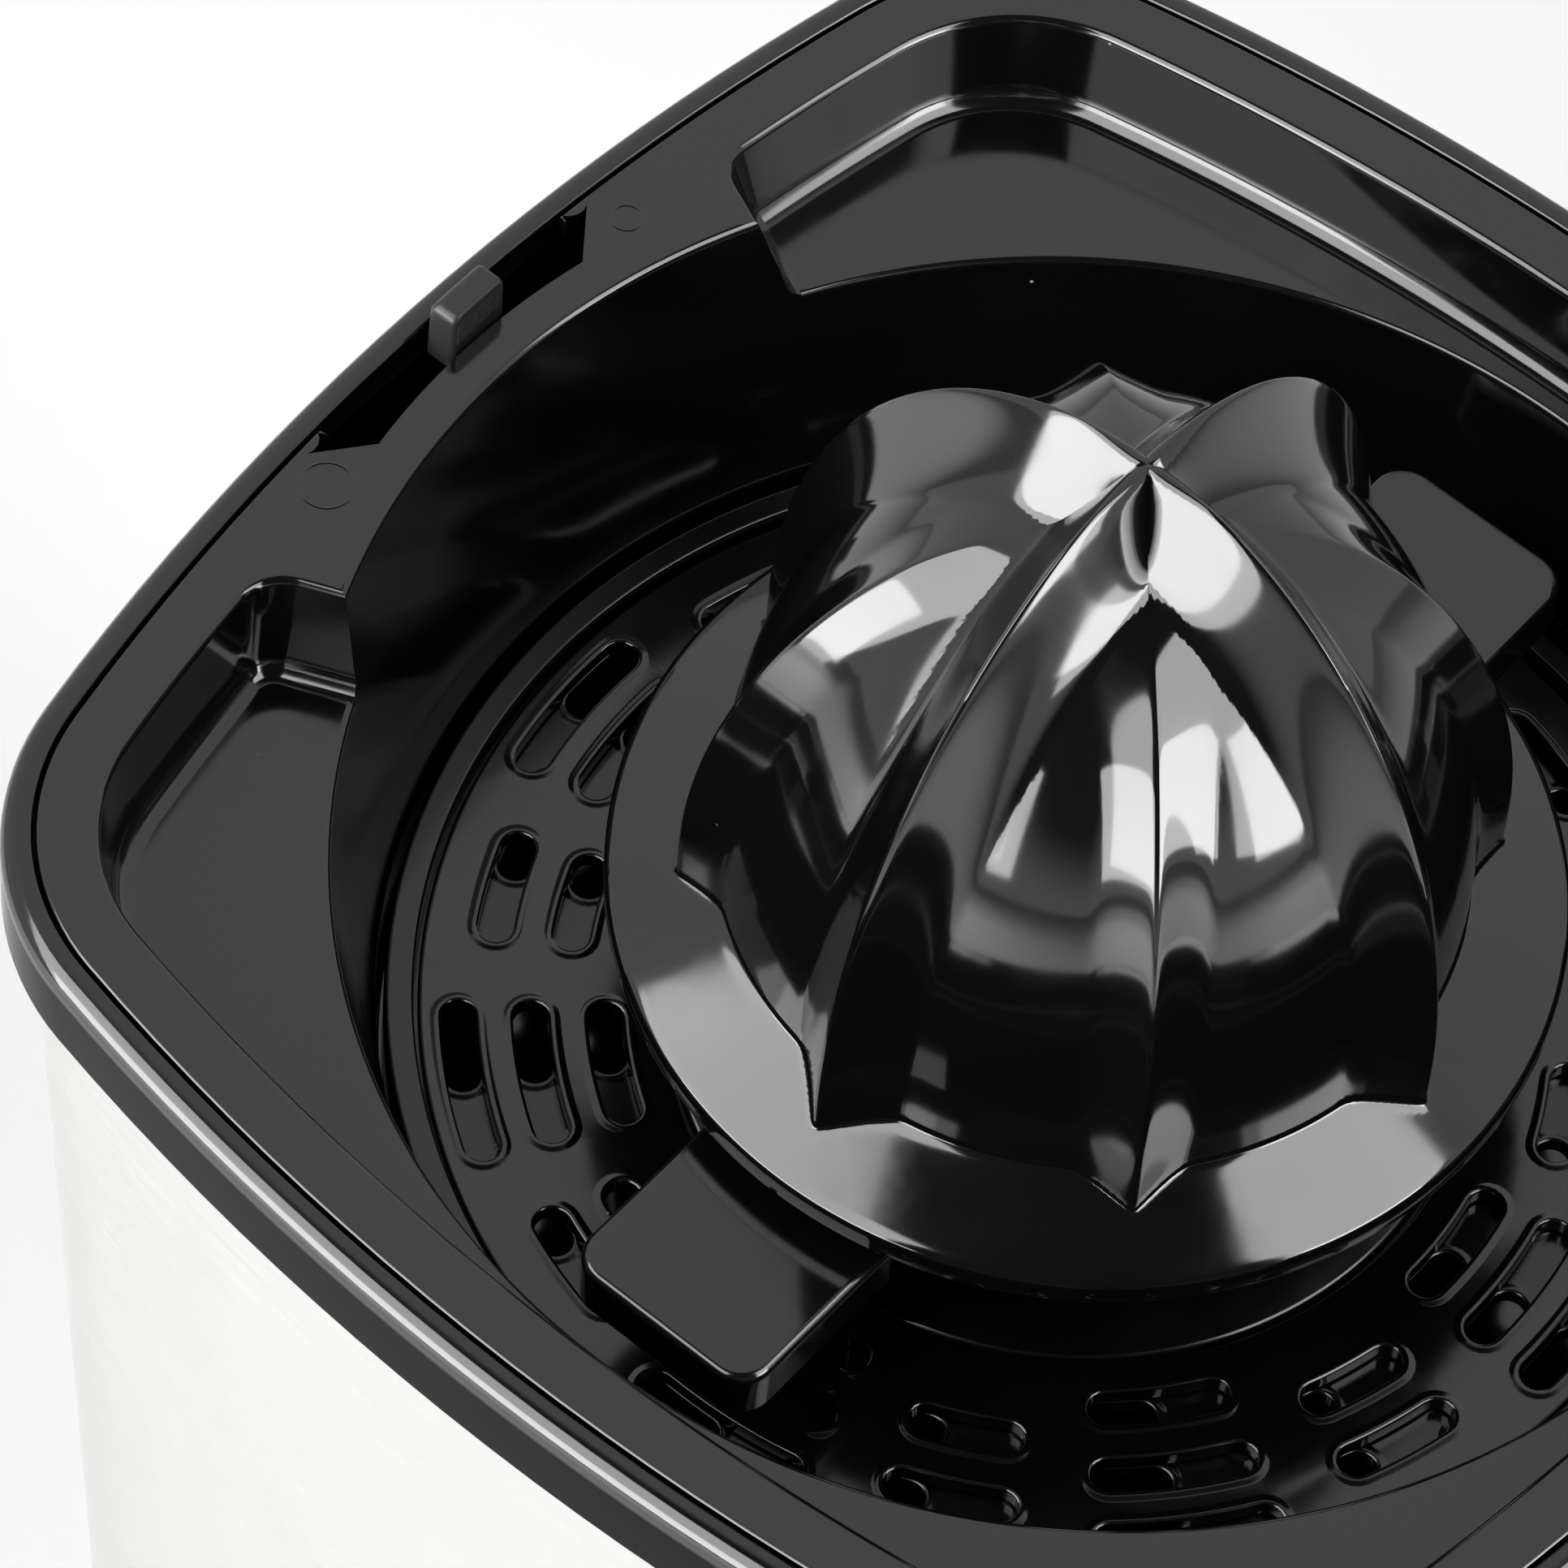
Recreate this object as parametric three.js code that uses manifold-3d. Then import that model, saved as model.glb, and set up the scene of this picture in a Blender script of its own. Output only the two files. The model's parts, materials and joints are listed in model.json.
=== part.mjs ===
// Electric citrus juicer: steel sleeve on a plastic base, lift-out juice tray with
// a strainer and a pulp control disc, and a ribbed reamer that starts the motor when
// it is pressed. Millimetres, +Z up. The origin is on the table under the middle of
// the whole machine, the spout points to -Y, and the reamer's axis is the line
// x = 0, y = AXIS_Y. Everything below is laid out about that axis.
import * as THREE from 'three';
import { mergeVertices } from 'three/addons/utils/BufferGeometryUtils.js';
import Module from 'manifold-3d';

const wasm = await Module();
wasm.setup();

// ---------------------------------------------------------------- driving dimensions
const AXIS_Y = 10;
const GAP = 0.3;

// Plan outline of the housing: a square with bowed sides and round corners.
const OUTER_HALF = 83.9;
const SIDE_BOW_R = 280;
const CORNER_R = 28;
const SIDE_STEPS = 4;
const CORNER_STEPS = 5;

const RIM_Z = 210;
const RING_H = 10;
const RING_W = 2.9;
const SLEEVE_Z0 = 9;
const SLEEVE_Z1 = 203.5;
const SLEEVE_INSET = 2.5;
const SLEEVE_WALL = 1.2;
const SLEEVE_TAPER = 0.08 / (SLEEVE_Z1 - SLEEVE_Z0);

// Well in the top cover that the tray hangs in.
const LEDGE_Z = 207.2;
const LEDGE_HALF = 78;
const WELL_STEP_Z = 193;
const WELL_HALF = 74.3;
const WELL_WALL = 2;
const DECK_Z0 = 148;
const DECK_Z1 = 150.5;
const NOTCH_HALF = 16;

// Lug on the rear of the cover and the slot around it in the tray's rim.
const LUG_X = 1.9;
const LUG_HALF = 3.6;
const LUG_RISE = 4.5;
const LUG_Y0 = 76.8;
const LUG_Y1 = 80.2;
const SLOT_HALF = 16.6;
const SLOT_R = 76.3;

// Tray.
const TRAY_HALF = OUTER_HALF - RING_W - GAP - 0.05;
const TRAY_RIM_T = 2.5;
const TRAY_WALL = 2.2;
const POCKET_HALF = 74.8;
const POCKET_Z = RIM_Z - 10.7;
const POCKET_FLARE = 1.2;
const LAND_HALF_ANGLE = THREE.MathUtils.degToRad(24.5);
const BOWL_R = 72;
const BOWL_LOW_R = 65.2;
const BOWL_LOW_Z = 177;
const STRAINER_LEDGE_Z = 168;
const STRAINER_LEDGE_R = 61.8;
const TRAY_FLOOR_Z = 159;
const TRAY_UNDER_Z = 157;
const CHIMNEY_R = 8.5;
const CHIMNEY_WALL = 2;
const CHIMNEY_Z = 182;

// Spout.
const TROUGH_HALF = 7;
const TROUGH_WALL = 2.2;
const TROUGH_Z0 = 156.5;
const TROUGH_Z1 = 168;
const TROUGH_END_Y = -91;
const APRON_HALF = NOTCH_HALF - 0.5;
const APRON_Z0 = 152.6;
const SPOUT_PIN_Y = -88.5;
const SPOUT_PIN_Z = 162;
const SPOUT_PIN_R = 1.4;
const FLAP_DROP = 9;
const FLAP_WALL = 1.6;
const FLAP_TILT = THREE.MathUtils.degToRad(12);
const FLAP_TIP_Y = -103.9;

// Strainer and pulp disc.
const STRAINER_R = 64.4;
const BAND_INNER_R = 61.6;
const BAND_Z = 176.4;
const DISC_R = 61.2;
const DISC_INNER_R = 38.6;
const DISC_Z0 = 173.6;
const DISC_Z1 = 175.2;
const PLATE_T = 1.6;
const CONE_R = 38;
const CONE_TOP_R = 13.6;
const CONE_TOP_Z = 181;
const CONE_HOLE_R = 11.4;
const SLOT_HALF_WIDTH = 1.7;
const LONG_SLOT_RADII = [43.6, 50.6, 57.4];
const LONG_SLOT_SPAN = THREE.MathUtils.degToRad(17.8);
const SHORT_SLOT_RADII = [47.3, 54.5];
const SHORT_SLOT_SPAN = THREE.MathUtils.degToRad(13.2);
const SLOT_GROUPS = 8;
const SLOT_START = THREE.MathUtils.degToRad(5.5);
const DISC_SETTING = THREE.MathUtils.degToRad(9);
const TAB_Z0 = 186.4;
const TAB_Z1 = 192.4;
const TAB_X0 = 39.5;
const TAB_X1 = 60.7;
const TAB_HALF = 10.7;
const TAB_CORNER = 3.6;
const TAB_STEM_T = 2.1;
const TAB_STEM_HALF = 8;

// Reamer: a half ellipsoid with four tall ribs and four low ribs between them.
const DOME_Z = 205;
const TALL_RIB = { radius: 39.2, height: 58 };
const LOW_RIB = { radius: 38.2, height: 50.5 };
const VALLEY = { radius: 34.8, height: 50 };
const TALL_RIB_WIDTH = 6;
const LOW_RIB_WIDTH = 5.4;
const LOW_RIB_FROM = 8;
const LOW_RIB_FULL = 20;
const RIB_SHARPNESS = 1.5;
const APEX_Z = 262.3;
const SKIRT_TOP_Z = 202.2;
const FLANGE_R = 44.6;
const FLANGE_Z0 = 195.6;
const REAMER_WALL = 2.6;
const HUB_R = 8;
const HUB_Z0 = 188.5;
const SOCKET_HALF = 4.4;
const SOCKET_Z1 = 216;

// Drive.
const SPINDLE_R = 4;
const SPINDLE_Z0 = 104;
const SQUARE_Z0 = 190;
const SQUARE_Z1 = 214;
const SQUARE_HALF = 4;
const MODULE = 1;
const PRESSURE_ANGLE = THREE.MathUtils.degToRad(25);
const ADDENDUM = 0.8;
const DEDENDUM = 1.15;
const BACKLASH = 0.16;
const PINION_TEETH = 12;
const MIDDLE_TEETH = 50;
const OUTPUT_TEETH = 54;
const MIDDLE_DISTANCE = (OUTPUT_TEETH + PINION_TEETH) * MODULE / 2;
const MOTOR_DISTANCE = (MIDDLE_TEETH + PINION_TEETH) * MODULE / 2;
const MIDDLE_ANGLE = THREE.MathUtils.degToRad(20);
const MOTOR_ANGLE = THREE.MathUtils.degToRad(125);
const MIDDLE_X = MIDDLE_DISTANCE * Math.cos(MIDDLE_ANGLE);
const MIDDLE_Y = MIDDLE_DISTANCE * Math.sin(MIDDLE_ANGLE);
const MOTOR_X = MIDDLE_X + MOTOR_DISTANCE * Math.cos(MOTOR_ANGLE);
const MOTOR_Y = MIDDLE_Y + MOTOR_DISTANCE * Math.sin(MOTOR_ANGLE);
const CASE_Z0 = 108;
const CASE_FLOOR = 2;
const CASE_WALL = 2;
const SPRING_TUBE_R = 8.6;
const CUP_STEM_Z0 = 80;
const SPRING_SEAT_Z1 = 90.5;
const SPRING_TURNS = 4;
const SWITCH_Z0 = 60;
const SWITCH_Z1 = 76;
const MOTOR_Z0 = 62;
const MOTOR_Z1 = 105;
const MOTOR_R = 27;

// Fixings.
const BOSS_POSITIONS = [[-62, -38], [62, -38], [62, 38], [-62, 38]];
const FOOT_OFFSET = 50;
const BASE_Z0 = 3.3;
const BASE_Z1 = 6;
const EAR_POSITIONS = [[-30, -20], [20, -32], [-18, 31]];
const EAR_Z0 = 140;
const EAR_Z1 = 143.7;
const GLAND_Z = 26;

// ---------------------------------------------------------------- materials
function material(color, roughness, metalness) {
  return new THREE.MeshStandardMaterial({ color, roughness, metalness });
}

const blackGloss = material(0x111112, 0.12, 0);
const blackSatin = material(0x2a2a2b, 0.45, 0);
const brushedSteel = material(0xd9d9d6, 0.35, 1);
const zincSteel = material(0xa9abad, 0.35, 1);
const springSteel = material(0x8f9296, 0.3, 1);
const rubber = material(0x232323, 0.85, 0);
const whiteAcetal = material(0xe6e4dc, 0.4, 0);
const greyPlastic = material(0x6b6d70, 0.5, 0);
const copperWire = material(0xa5582e, 0.35, 1);
const magnet = material(0x3a3836, 0.55, 0.3);
const brownInsulation = material(0x6a3a20, 0.5, 0);
const blueInsulation = material(0x2f5d9a, 0.5, 0);

// ---------------------------------------------------------------- solids
function signedVolume(position, index) {
  const corner = [new THREE.Vector3(), new THREE.Vector3(), new THREE.Vector3()];
  let volume = 0;
  for (let i = 0; i < index.count; i += 3) {
    corner.forEach((point, k) => point.fromBufferAttribute(position, index.getX(i + k)));
    volume += corner[0].dot(corner[1].clone().cross(corner[2])) / 6;
  }
  return volume;
}

function solid(geometry) {
  geometry.deleteAttribute('normal');
  geometry.deleteAttribute('uv');
  const merged = mergeVertices(geometry, 1e-4);
  const triangles = [];
  const flip = signedVolume(merged.attributes.position, merged.index) < 0;
  for (let i = 0; i < merged.index.count; i += 3) {
    const [a, b, c] = [0, 1, 2].map((k) => merged.index.getX(i + k));
    const collapsed = a === b || b === c || c === a;
    if (!collapsed) triangles.push(...(flip ? [a, c, b] : [a, b, c]));
  }
  return new wasm.Manifold(new wasm.Mesh({
    numProp: 3,
    vertProperties: new Float32Array(merged.attributes.position.array),
    triVerts: new Uint32Array(triangles),
  }));
}

function toGeometry(body) {
  const mesh = body.getMesh();
  const geometry = new THREE.BufferGeometry();
  geometry.setAttribute('position', new THREE.BufferAttribute(mesh.vertProperties, mesh.numProp));
  geometry.setIndex(new THREE.BufferAttribute(mesh.triVerts, 1));
  geometry.computeVertexNormals();
  return geometry;
}

function join(first, ...others) {
  return others.reduce((sum, other) => sum.add(other), first);
}

function cut(body, ...tools) {
  return tools.reduce((rest, tool) => rest.subtract(tool), body);
}

function box([x0, x1], [y0, y1], [z0, z1]) {
  const geometry = new THREE.BoxGeometry(x1 - x0, y1 - y0, z1 - z0);
  geometry.translate((x0 + x1) / 2, (y0 + y1) / 2, (z0 + z1) / 2);
  return solid(geometry);
}

function cylinder(radius, [z0, z1], [x, y] = [0, 0], segments = 16) {
  const geometry = new THREE.CylinderGeometry(radius, radius, z1 - z0, segments);
  geometry.rotateX(Math.PI / 2);
  geometry.translate(x, y, (z0 + z1) / 2);
  return solid(geometry);
}

function ring(outer, inner, [z0, z1], centre = [0, 0], segments = 16) {
  const bore = cylinder(inner, [z0 - 1, z1 + 1], centre, segments);
  return cylinder(outer, [z0, z1], centre, segments).subtract(bore);
}

// Rod along X between two x positions.
function crossRod(radius, [x0, x1], y, z) {
  const geometry = new THREE.CylinderGeometry(radius, radius, x1 - x0, 16);
  geometry.rotateZ(Math.PI / 2);
  geometry.translate((x0 + x1) / 2, y, z);
  return solid(geometry);
}

// Closed [radius, z] profile turned about the vertical axis.
function turned(profile, segments = 40) {
  const points = [...profile, profile[0]].map(([r, z]) => new THREE.Vector2(r, z));
  const geometry = new THREE.LatheGeometry(points, segments);
  geometry.rotateX(Math.PI / 2);
  return solid(geometry);
}

function extruded(shape, [z0, z1], curveSegments = 3) {
  const options = { depth: z1 - z0, bevelEnabled: false, curveSegments };
  const geometry = new THREE.ExtrudeGeometry(shape, options);
  geometry.translate(0, 0, z0);
  return solid(geometry);
}

// ---------------------------------------------------------------- housing outline
const CORNER_CENTRE = (() => {
  const side = SIDE_BOW_R - OUTER_HALF;
  const corner = SIDE_BOW_R - CORNER_R;
  return (Math.sqrt(2 * corner ** 2 - side ** 2) - side) / 2;
})();
const SIDE_ANGLE = Math.atan2(CORNER_CENTRE, CORNER_CENTRE + SIDE_BOW_R - OUTER_HALF);

// Points of an arc, without its last point.
function arcPoints([x, y], radius, from, to, steps) {
  return Array.from({ length: steps }, (_, i) => {
    const angle = THREE.MathUtils.lerp(from, to, i / steps);
    return new THREE.Vector2(x + radius * Math.cos(angle), y + radius * Math.sin(angle));
  });
}

// The outline at a given half width: four side arcs joined by four corner arcs.
function outlinePoints(half) {
  const inset = OUTER_HALF - half;
  const sideOffset = SIDE_BOW_R - OUTER_HALF;
  const cornerOffset = CORNER_CENTRE * Math.SQRT2;
  return [0, 1, 2, 3].flatMap((quarter) => {
    const turn = quarter * Math.PI / 2;
    const diagonal = turn + Math.PI / 4;
    const side = [-sideOffset * Math.cos(turn), -sideOffset * Math.sin(turn)];
    const corner = [cornerOffset * Math.cos(diagonal), cornerOffset * Math.sin(diagonal)];
    const [from, to] = [turn + SIDE_ANGLE, turn + Math.PI / 2 - SIDE_ANGLE];
    return [
      ...arcPoints(side, SIDE_BOW_R - inset, turn - SIDE_ANGLE, from, SIDE_STEPS),
      ...arcPoints(corner, CORNER_R - inset, from, to, CORNER_STEPS),
    ];
  });
}

function outlineBlock(half, zRange) {
  return extruded(new THREE.Shape(outlinePoints(half)), zRange);
}

function outlineFrame(outerHalf, innerHalf, zRange) {
  const shape = new THREE.Shape(outlinePoints(outerHalf));
  shape.holes.push(new THREE.Path(outlinePoints(innerHalf)));
  return extruded(shape, zRange);
}

// The same solid with its plan scaled by a factor that depends on height.
function rescaled(body, scaleAt) {
  const geometry = toGeometry(body);
  const position = geometry.attributes.position;
  for (let i = 0; i < position.count; i += 1) {
    const scale = scaleAt(position.getZ(i));
    position.setX(i, position.getX(i) * scale);
    position.setY(i, position.getY(i) * scale);
  }
  return solid(geometry);
}

// How much narrower the sleeve is at a height than at its top.
function sleeveScale(z) {
  return 1 - SLEEVE_TAPER * (SLEEVE_Z1 - z);
}

// ---------------------------------------------------------------- housing
function makeSleeve() {
  const outerHalf = OUTER_HALF - SLEEVE_INSET;
  const straight = outlineFrame(outerHalf, outerHalf - SLEEVE_WALL, [SLEEVE_Z0, SLEEVE_Z1]);
  const shell = rescaled(straight, sleeveScale);
  const notch = box([-NOTCH_HALF, NOTCH_HALF], [-100, -60], [APRON_Z0 - 0.6, RIM_Z]);
  const glandHole = new THREE.CylinderGeometry(5.5, 5.5, 20, 24);
  glandHole.translate(0, 75, GLAND_Z);
  return cut(shell, notch, solid(glandHole));
}

function makeTopCover() {
  const lipInner = OUTER_HALF - SLEEVE_INSET + 0.35;
  const seamHalf = OUTER_HALF - RING_W;
  const lip = outlineFrame(OUTER_HALF, lipInner, [RIM_Z - RING_H, SLEEVE_Z1 + 2 * GAP]);
  const shoulder = outlineFrame(OUTER_HALF, LEDGE_HALF, [SLEEVE_Z1 + GAP, LEDGE_Z]);
  const band = outlineFrame(OUTER_HALF, seamHalf, [LEDGE_Z - 0.5, RIM_Z - 0.9]);
  const crown = outlineFrame(OUTER_HALF - 0.9, seamHalf, [RIM_Z - 1, RIM_Z]);
  const upperWall = outlineFrame(LEDGE_HALF + 1.3, LEDGE_HALF, [WELL_STEP_Z - 2, SLEEVE_Z1 + 1]);
  const step = outlineFrame(LEDGE_HALF + 1.3, WELL_HALF, [WELL_STEP_Z - 2, WELL_STEP_Z]);
  const lowerWall = outlineFrame(WELL_HALF + WELL_WALL, WELL_HALF, [DECK_Z0, WELL_STEP_Z]);
  const deck = outlineBlock(WELL_HALF + 1, [DECK_Z0, DECK_Z1]);
  let cover = join(lip, shoulder, band, crown, upperWall, step, lowerWall, deck);

  const lugX = [LUG_X - LUG_HALF, LUG_X + LUG_HALF];
  const lugFoot = box(lugX, [LUG_Y0, LUG_Y1 + 1], [LEDGE_Z - 3, RIM_Z - 2]);
  const lugCore = box(lugX, [LUG_Y0, LUG_Y1], [RIM_Z - 3, RIM_Z + LUG_RISE - 1]);
  const lugTopX = [lugX[0] + 0.8, lugX[1] - 0.8];
  const lugTop = box(lugTopX, [LUG_Y0, LUG_Y1 - 0.5], [RIM_Z - 3, RIM_Z + LUG_RISE]);
  cover = join(cover, lugFoot, lugCore, lugTop);

  cover = join(cover, cylinder(9.5, [EAR_Z0, DECK_Z1 + 5]));
  BOSS_POSITIONS.forEach((at) => {
    cover = cover.add(cylinder(5, [16, DECK_Z0 + 1], at, 12));
    cover = cover.subtract(cylinder(1.7, [15, 30], at, 8));
  });
  EAR_POSITIONS.forEach((at) => {
    cover = cover.add(cylinder(4, [EAR_Z1 + GAP, DECK_Z0 + 1], at, 12));
    cover = cover.subtract(cylinder(1.7, [EAR_Z1, DECK_Z0 + 1], at, 8));
  });
  const spindleHole = cylinder(7.2, [EAR_Z0 - 1, DECK_Z1 + 6]);
  const notch = box([-NOTCH_HALF, NOTCH_HALF], [-100, -60], [DECK_Z1 + 1, RIM_Z + 1]);
  return cut(cover, spindleHole, notch);
}

function makeBasePlate() {
  const seatHalf = OUTER_HALF - SLEEVE_INSET;
  const flange = outlineBlock(seatHalf + 0.6, [BASE_Z0, SLEEVE_Z0 - GAP]);
  const rim = outlineFrame(seatHalf - SLEEVE_WALL - 0.5, seatHalf - 3.7, [BASE_Z1 - 1, 17]);
  const hollow = outlineBlock(seatHalf - 3.7, [BASE_Z1, SLEEVE_Z0]);
  let plate = rescaled(flange.subtract(hollow).add(rim), () => sleeveScale(SLEEVE_Z0));
  BOSS_POSITIONS.forEach((at) => {
    plate = plate.add(cylinder(6.4, [BASE_Z1 - 1, 15.7], at, 16));
    plate = plate.subtract(cylinder(4, [BASE_Z0 - 1, 9.3], at, 16));
    plate = plate.subtract(cylinder(1.8, [9, 17], at, 12));
  });
  footPositions().forEach(({ at }) => {
    plate = plate.subtract(cylinder(2.8, [BASE_Z0 - 1, BASE_Z1 + 1], at, 12));
  });
  for (let i = -2; i <= 2; i += 1) {
    const vent = box([i * 9 - 1.6, i * 9 + 1.6], [-14, 14], [BASE_Z0 - 1, BASE_Z1 + 1]);
    plate = plate.subtract(vent);
  }
  return plate;
}

function footPositions() {
  const names = ['front_left', 'front_right', 'rear_right', 'rear_left'];
  const signs = [[-1, -1], [1, -1], [1, 1], [-1, 1]];
  return names.map((name, i) => ({ name, at: signs[i].map((sign) => sign * FOOT_OFFSET) }));
}

function makeFoot(at) {
  return join(
    cylinder(7.4, [0, 1], at, 16),
    cylinder(8, [0.8, BASE_Z0 - GAP], at, 16),
    cylinder(2.5, [BASE_Z0 - 1, BASE_Z1 + 0.8], at, 12),
  );
}

// Screw with its head below, for fixings that are driven from underneath.
function makeScrew(at, headZ, headHeight, headRadius, tipZ) {
  const head = cylinder(headRadius, [headZ, headZ + headHeight], at, 16);
  const shank = cylinder(1.4, [headZ + headHeight - 0.5, tipZ], at, 10);
  const [x, y] = at;
  const slot = box([x - 0.4, x + 0.4], [y - headRadius, y + headRadius], [headZ - 1, headZ + 0.9]);
  return join(head, shank).subtract(slot);
}

function makeCordGland() {
  const body = new THREE.CylinderGeometry(5.2, 5.2, 10, 24);
  body.translate(0, 72.5, GLAND_Z);
  const flange = new THREE.CylinderGeometry(7.4, 7.4, 1.8, 24);
  flange.translate(0, 77.2, GLAND_Z);
  const bore = new THREE.CylinderGeometry(3.3, 3.3, 30, 24);
  bore.translate(0, 75, GLAND_Z);
  return solid(body).add(solid(flange)).subtract(solid(bore));
}

// ---------------------------------------------------------------- tray
// Pie slice about the +Y direction.
function sector(outerRadius, halfAngle, zRange) {
  const shape = new THREE.Shape();
  shape.moveTo(0, 0);
  shape.lineTo(outerRadius * Math.sin(halfAngle), outerRadius * Math.cos(halfAngle));
  shape.absarc(0, 0, outerRadius, Math.PI / 2 - halfAngle, Math.PI / 2 + halfAngle, false);
  return extruded(shape, zRange, 4);
}

function makeTrayShell() {
  const rim = outlineBlock(TRAY_HALF, [RIM_Z - TRAY_RIM_T, RIM_Z]);
  const under = POCKET_Z - TRAY_WALL;
  const pocketOuter = outlineBlock(POCKET_HALF + TRAY_WALL, [under, RIM_Z - TRAY_RIM_T + 0.5]);
  const landUnder = sector(110, LAND_HALF_ANGLE - 0.03, [under - 1, RIM_Z - TRAY_RIM_T]);
  const bowlOuter = turned([
    [0, TRAY_UNDER_Z],
    [STRAINER_LEDGE_R + 1, TRAY_UNDER_Z],
    [STRAINER_LEDGE_R + 2, STRAINER_LEDGE_Z - 3.5],
    [BOWL_LOW_R + TRAY_WALL, STRAINER_LEDGE_Z - 1.5],
    [BOWL_LOW_R + TRAY_WALL, BOWL_LOW_Z],
    [BOWL_R + TRAY_WALL, RIM_Z - 1],
    [0, RIM_Z - 1],
  ], 48);
  return join(rim, pocketOuter.subtract(landUnder), bowlOuter);
}

function makeTrayHollows() {
  const pocket = outlineBlock(POCKET_HALF, [POCKET_Z, RIM_Z + 1]);
  const flared = rescaled(pocket, (z) => {
    const drop = Math.max(0, RIM_Z - z) / (RIM_Z - POCKET_Z);
    return 1 - drop * POCKET_FLARE / POCKET_HALF;
  });
  const pockets = flared.subtract(sector(110, LAND_HALF_ANGLE, [POCKET_Z - 1, RIM_Z + 2]));
  const bowl = turned([
    [0, TRAY_FLOOR_Z],
    [STRAINER_LEDGE_R - 1, TRAY_FLOOR_Z],
    [STRAINER_LEDGE_R, STRAINER_LEDGE_Z],
    [BOWL_LOW_R, STRAINER_LEDGE_Z],
    [BOWL_LOW_R, BOWL_LOW_Z],
    [BOWL_R, RIM_Z],
    [BOWL_R, RIM_Z + 2],
    [0, RIM_Z + 2],
  ], 48);
  const slotBlock = box([-SLOT_HALF, SLOT_HALF], [60, 90], [RIM_Z - 8, RIM_Z + 1]);
  const slot = slotBlock.subtract(cylinder(SLOT_R, [RIM_Z - 9, RIM_Z + 2], [0, 0], 48));
  return [pockets, bowl, slot];
}

function makeApron() {
  const top = outlineFrame(OUTER_HALF - 0.3, TRAY_HALF - 2, [RIM_Z - RING_H, RIM_Z]);
  const outerHalf = OUTER_HALF - SLEEVE_INSET;
  const straight = outlineFrame(outerHalf, outerHalf - 2.8, [APRON_Z0, RIM_Z - RING_H + 2]);
  const lower = rescaled(straight, sleeveScale);
  const front = box([-APRON_HALF, APRON_HALF], [-100, -60], [APRON_Z0, RIM_Z]);
  return join(top, lower).intersect(front);
}

function makeTray() {
  const outerHalf = TROUGH_HALF + TROUGH_WALL;
  const troughZ = [TROUGH_Z0 - TROUGH_WALL, TROUGH_Z1 + TROUGH_WALL];
  const trough = box([-outerHalf, outerHalf], [TROUGH_END_Y, -STRAINER_LEDGE_R + 2], troughZ);
  const chimneyZ = [TRAY_UNDER_Z, CHIMNEY_Z];
  const channel = box([-TROUGH_HALF, TROUGH_HALF], [-110, -50], [TROUGH_Z0, TROUGH_Z1 - 0.5]);
  const lipOpening = box([-TROUGH_HALF, TROUGH_HALF], [-110, -85.5], [TROUGH_Z0, 180]);
  const pinHole = crossRod(SPOUT_PIN_R + GAP, [-20, 20], SPOUT_PIN_Y, SPOUT_PIN_Z);
  const shell = join(makeTrayShell(), makeApron(), trough);
  const hollowed = cut(shell, ...makeTrayHollows(), channel, lipOpening, pinHole);
  const withChimney = hollowed.add(cylinder(CHIMNEY_R + CHIMNEY_WALL, chimneyZ, [0, 0], 32));
  return withChimney.subtract(cylinder(CHIMNEY_R, [TRAY_UNDER_Z - 1, CHIMNEY_Z + 1], [0, 0], 32));
}

// Chute that hangs on the spout pin: a floor, two cheeks with pin holes, a lowered tip.
function makeSpoutFlap() {
  const inner = TROUGH_HALF + TROUGH_WALL + 0.5;
  const outer = inner + FLAP_WALL;
  const reach = (FLAP_TIP_Y - SPOUT_PIN_Y) / Math.cos(FLAP_TILT) - FLAP_DROP * Math.tan(FLAP_TILT);
  const profile = new THREE.Shape();
  profile.moveTo(3.5, -FLAP_DROP - FLAP_WALL);
  profile.lineTo(3.5, 0);
  profile.absarc(0, 0, 3.5, 0, Math.PI / 2, false);
  profile.lineTo(reach + 2, -FLAP_DROP + 3.5);
  profile.lineTo(reach, -FLAP_DROP);
  profile.lineTo(reach, -FLAP_DROP - FLAP_WALL);
  const block = new THREE.ExtrudeGeometry(profile, { depth: 2 * outer, bevelEnabled: false });
  block.translate(0, 0, -outer);
  block.rotateY(Math.PI / 2);
  block.rotateX(Math.PI / 2);
  const channel = box([-inner, inner], [-40, 20], [-FLAP_DROP, 20]);
  const pinHole = crossRod(SPOUT_PIN_R + GAP, [-20, 20], 0, 0);
  const flap = toGeometry(cut(solid(block), channel, pinHole));
  flap.rotateX(FLAP_TILT);
  flap.translate(0, SPOUT_PIN_Y, SPOUT_PIN_Z);
  return solid(flap);
}

function makeSpoutPin() {
  const reach = TROUGH_HALF + TROUGH_WALL + FLAP_WALL + 1.1;
  const rod = crossRod(SPOUT_PIN_R, [-reach, reach], SPOUT_PIN_Y, SPOUT_PIN_Z);
  const head = crossRod(2.2, [reach - 0.2, reach + 1], SPOUT_PIN_Y, SPOUT_PIN_Z);
  const tail = crossRod(2.2, [-reach - 1, -reach + 0.2], SPOUT_PIN_Y, SPOUT_PIN_Z);
  return join(rod, head, tail);
}

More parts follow.
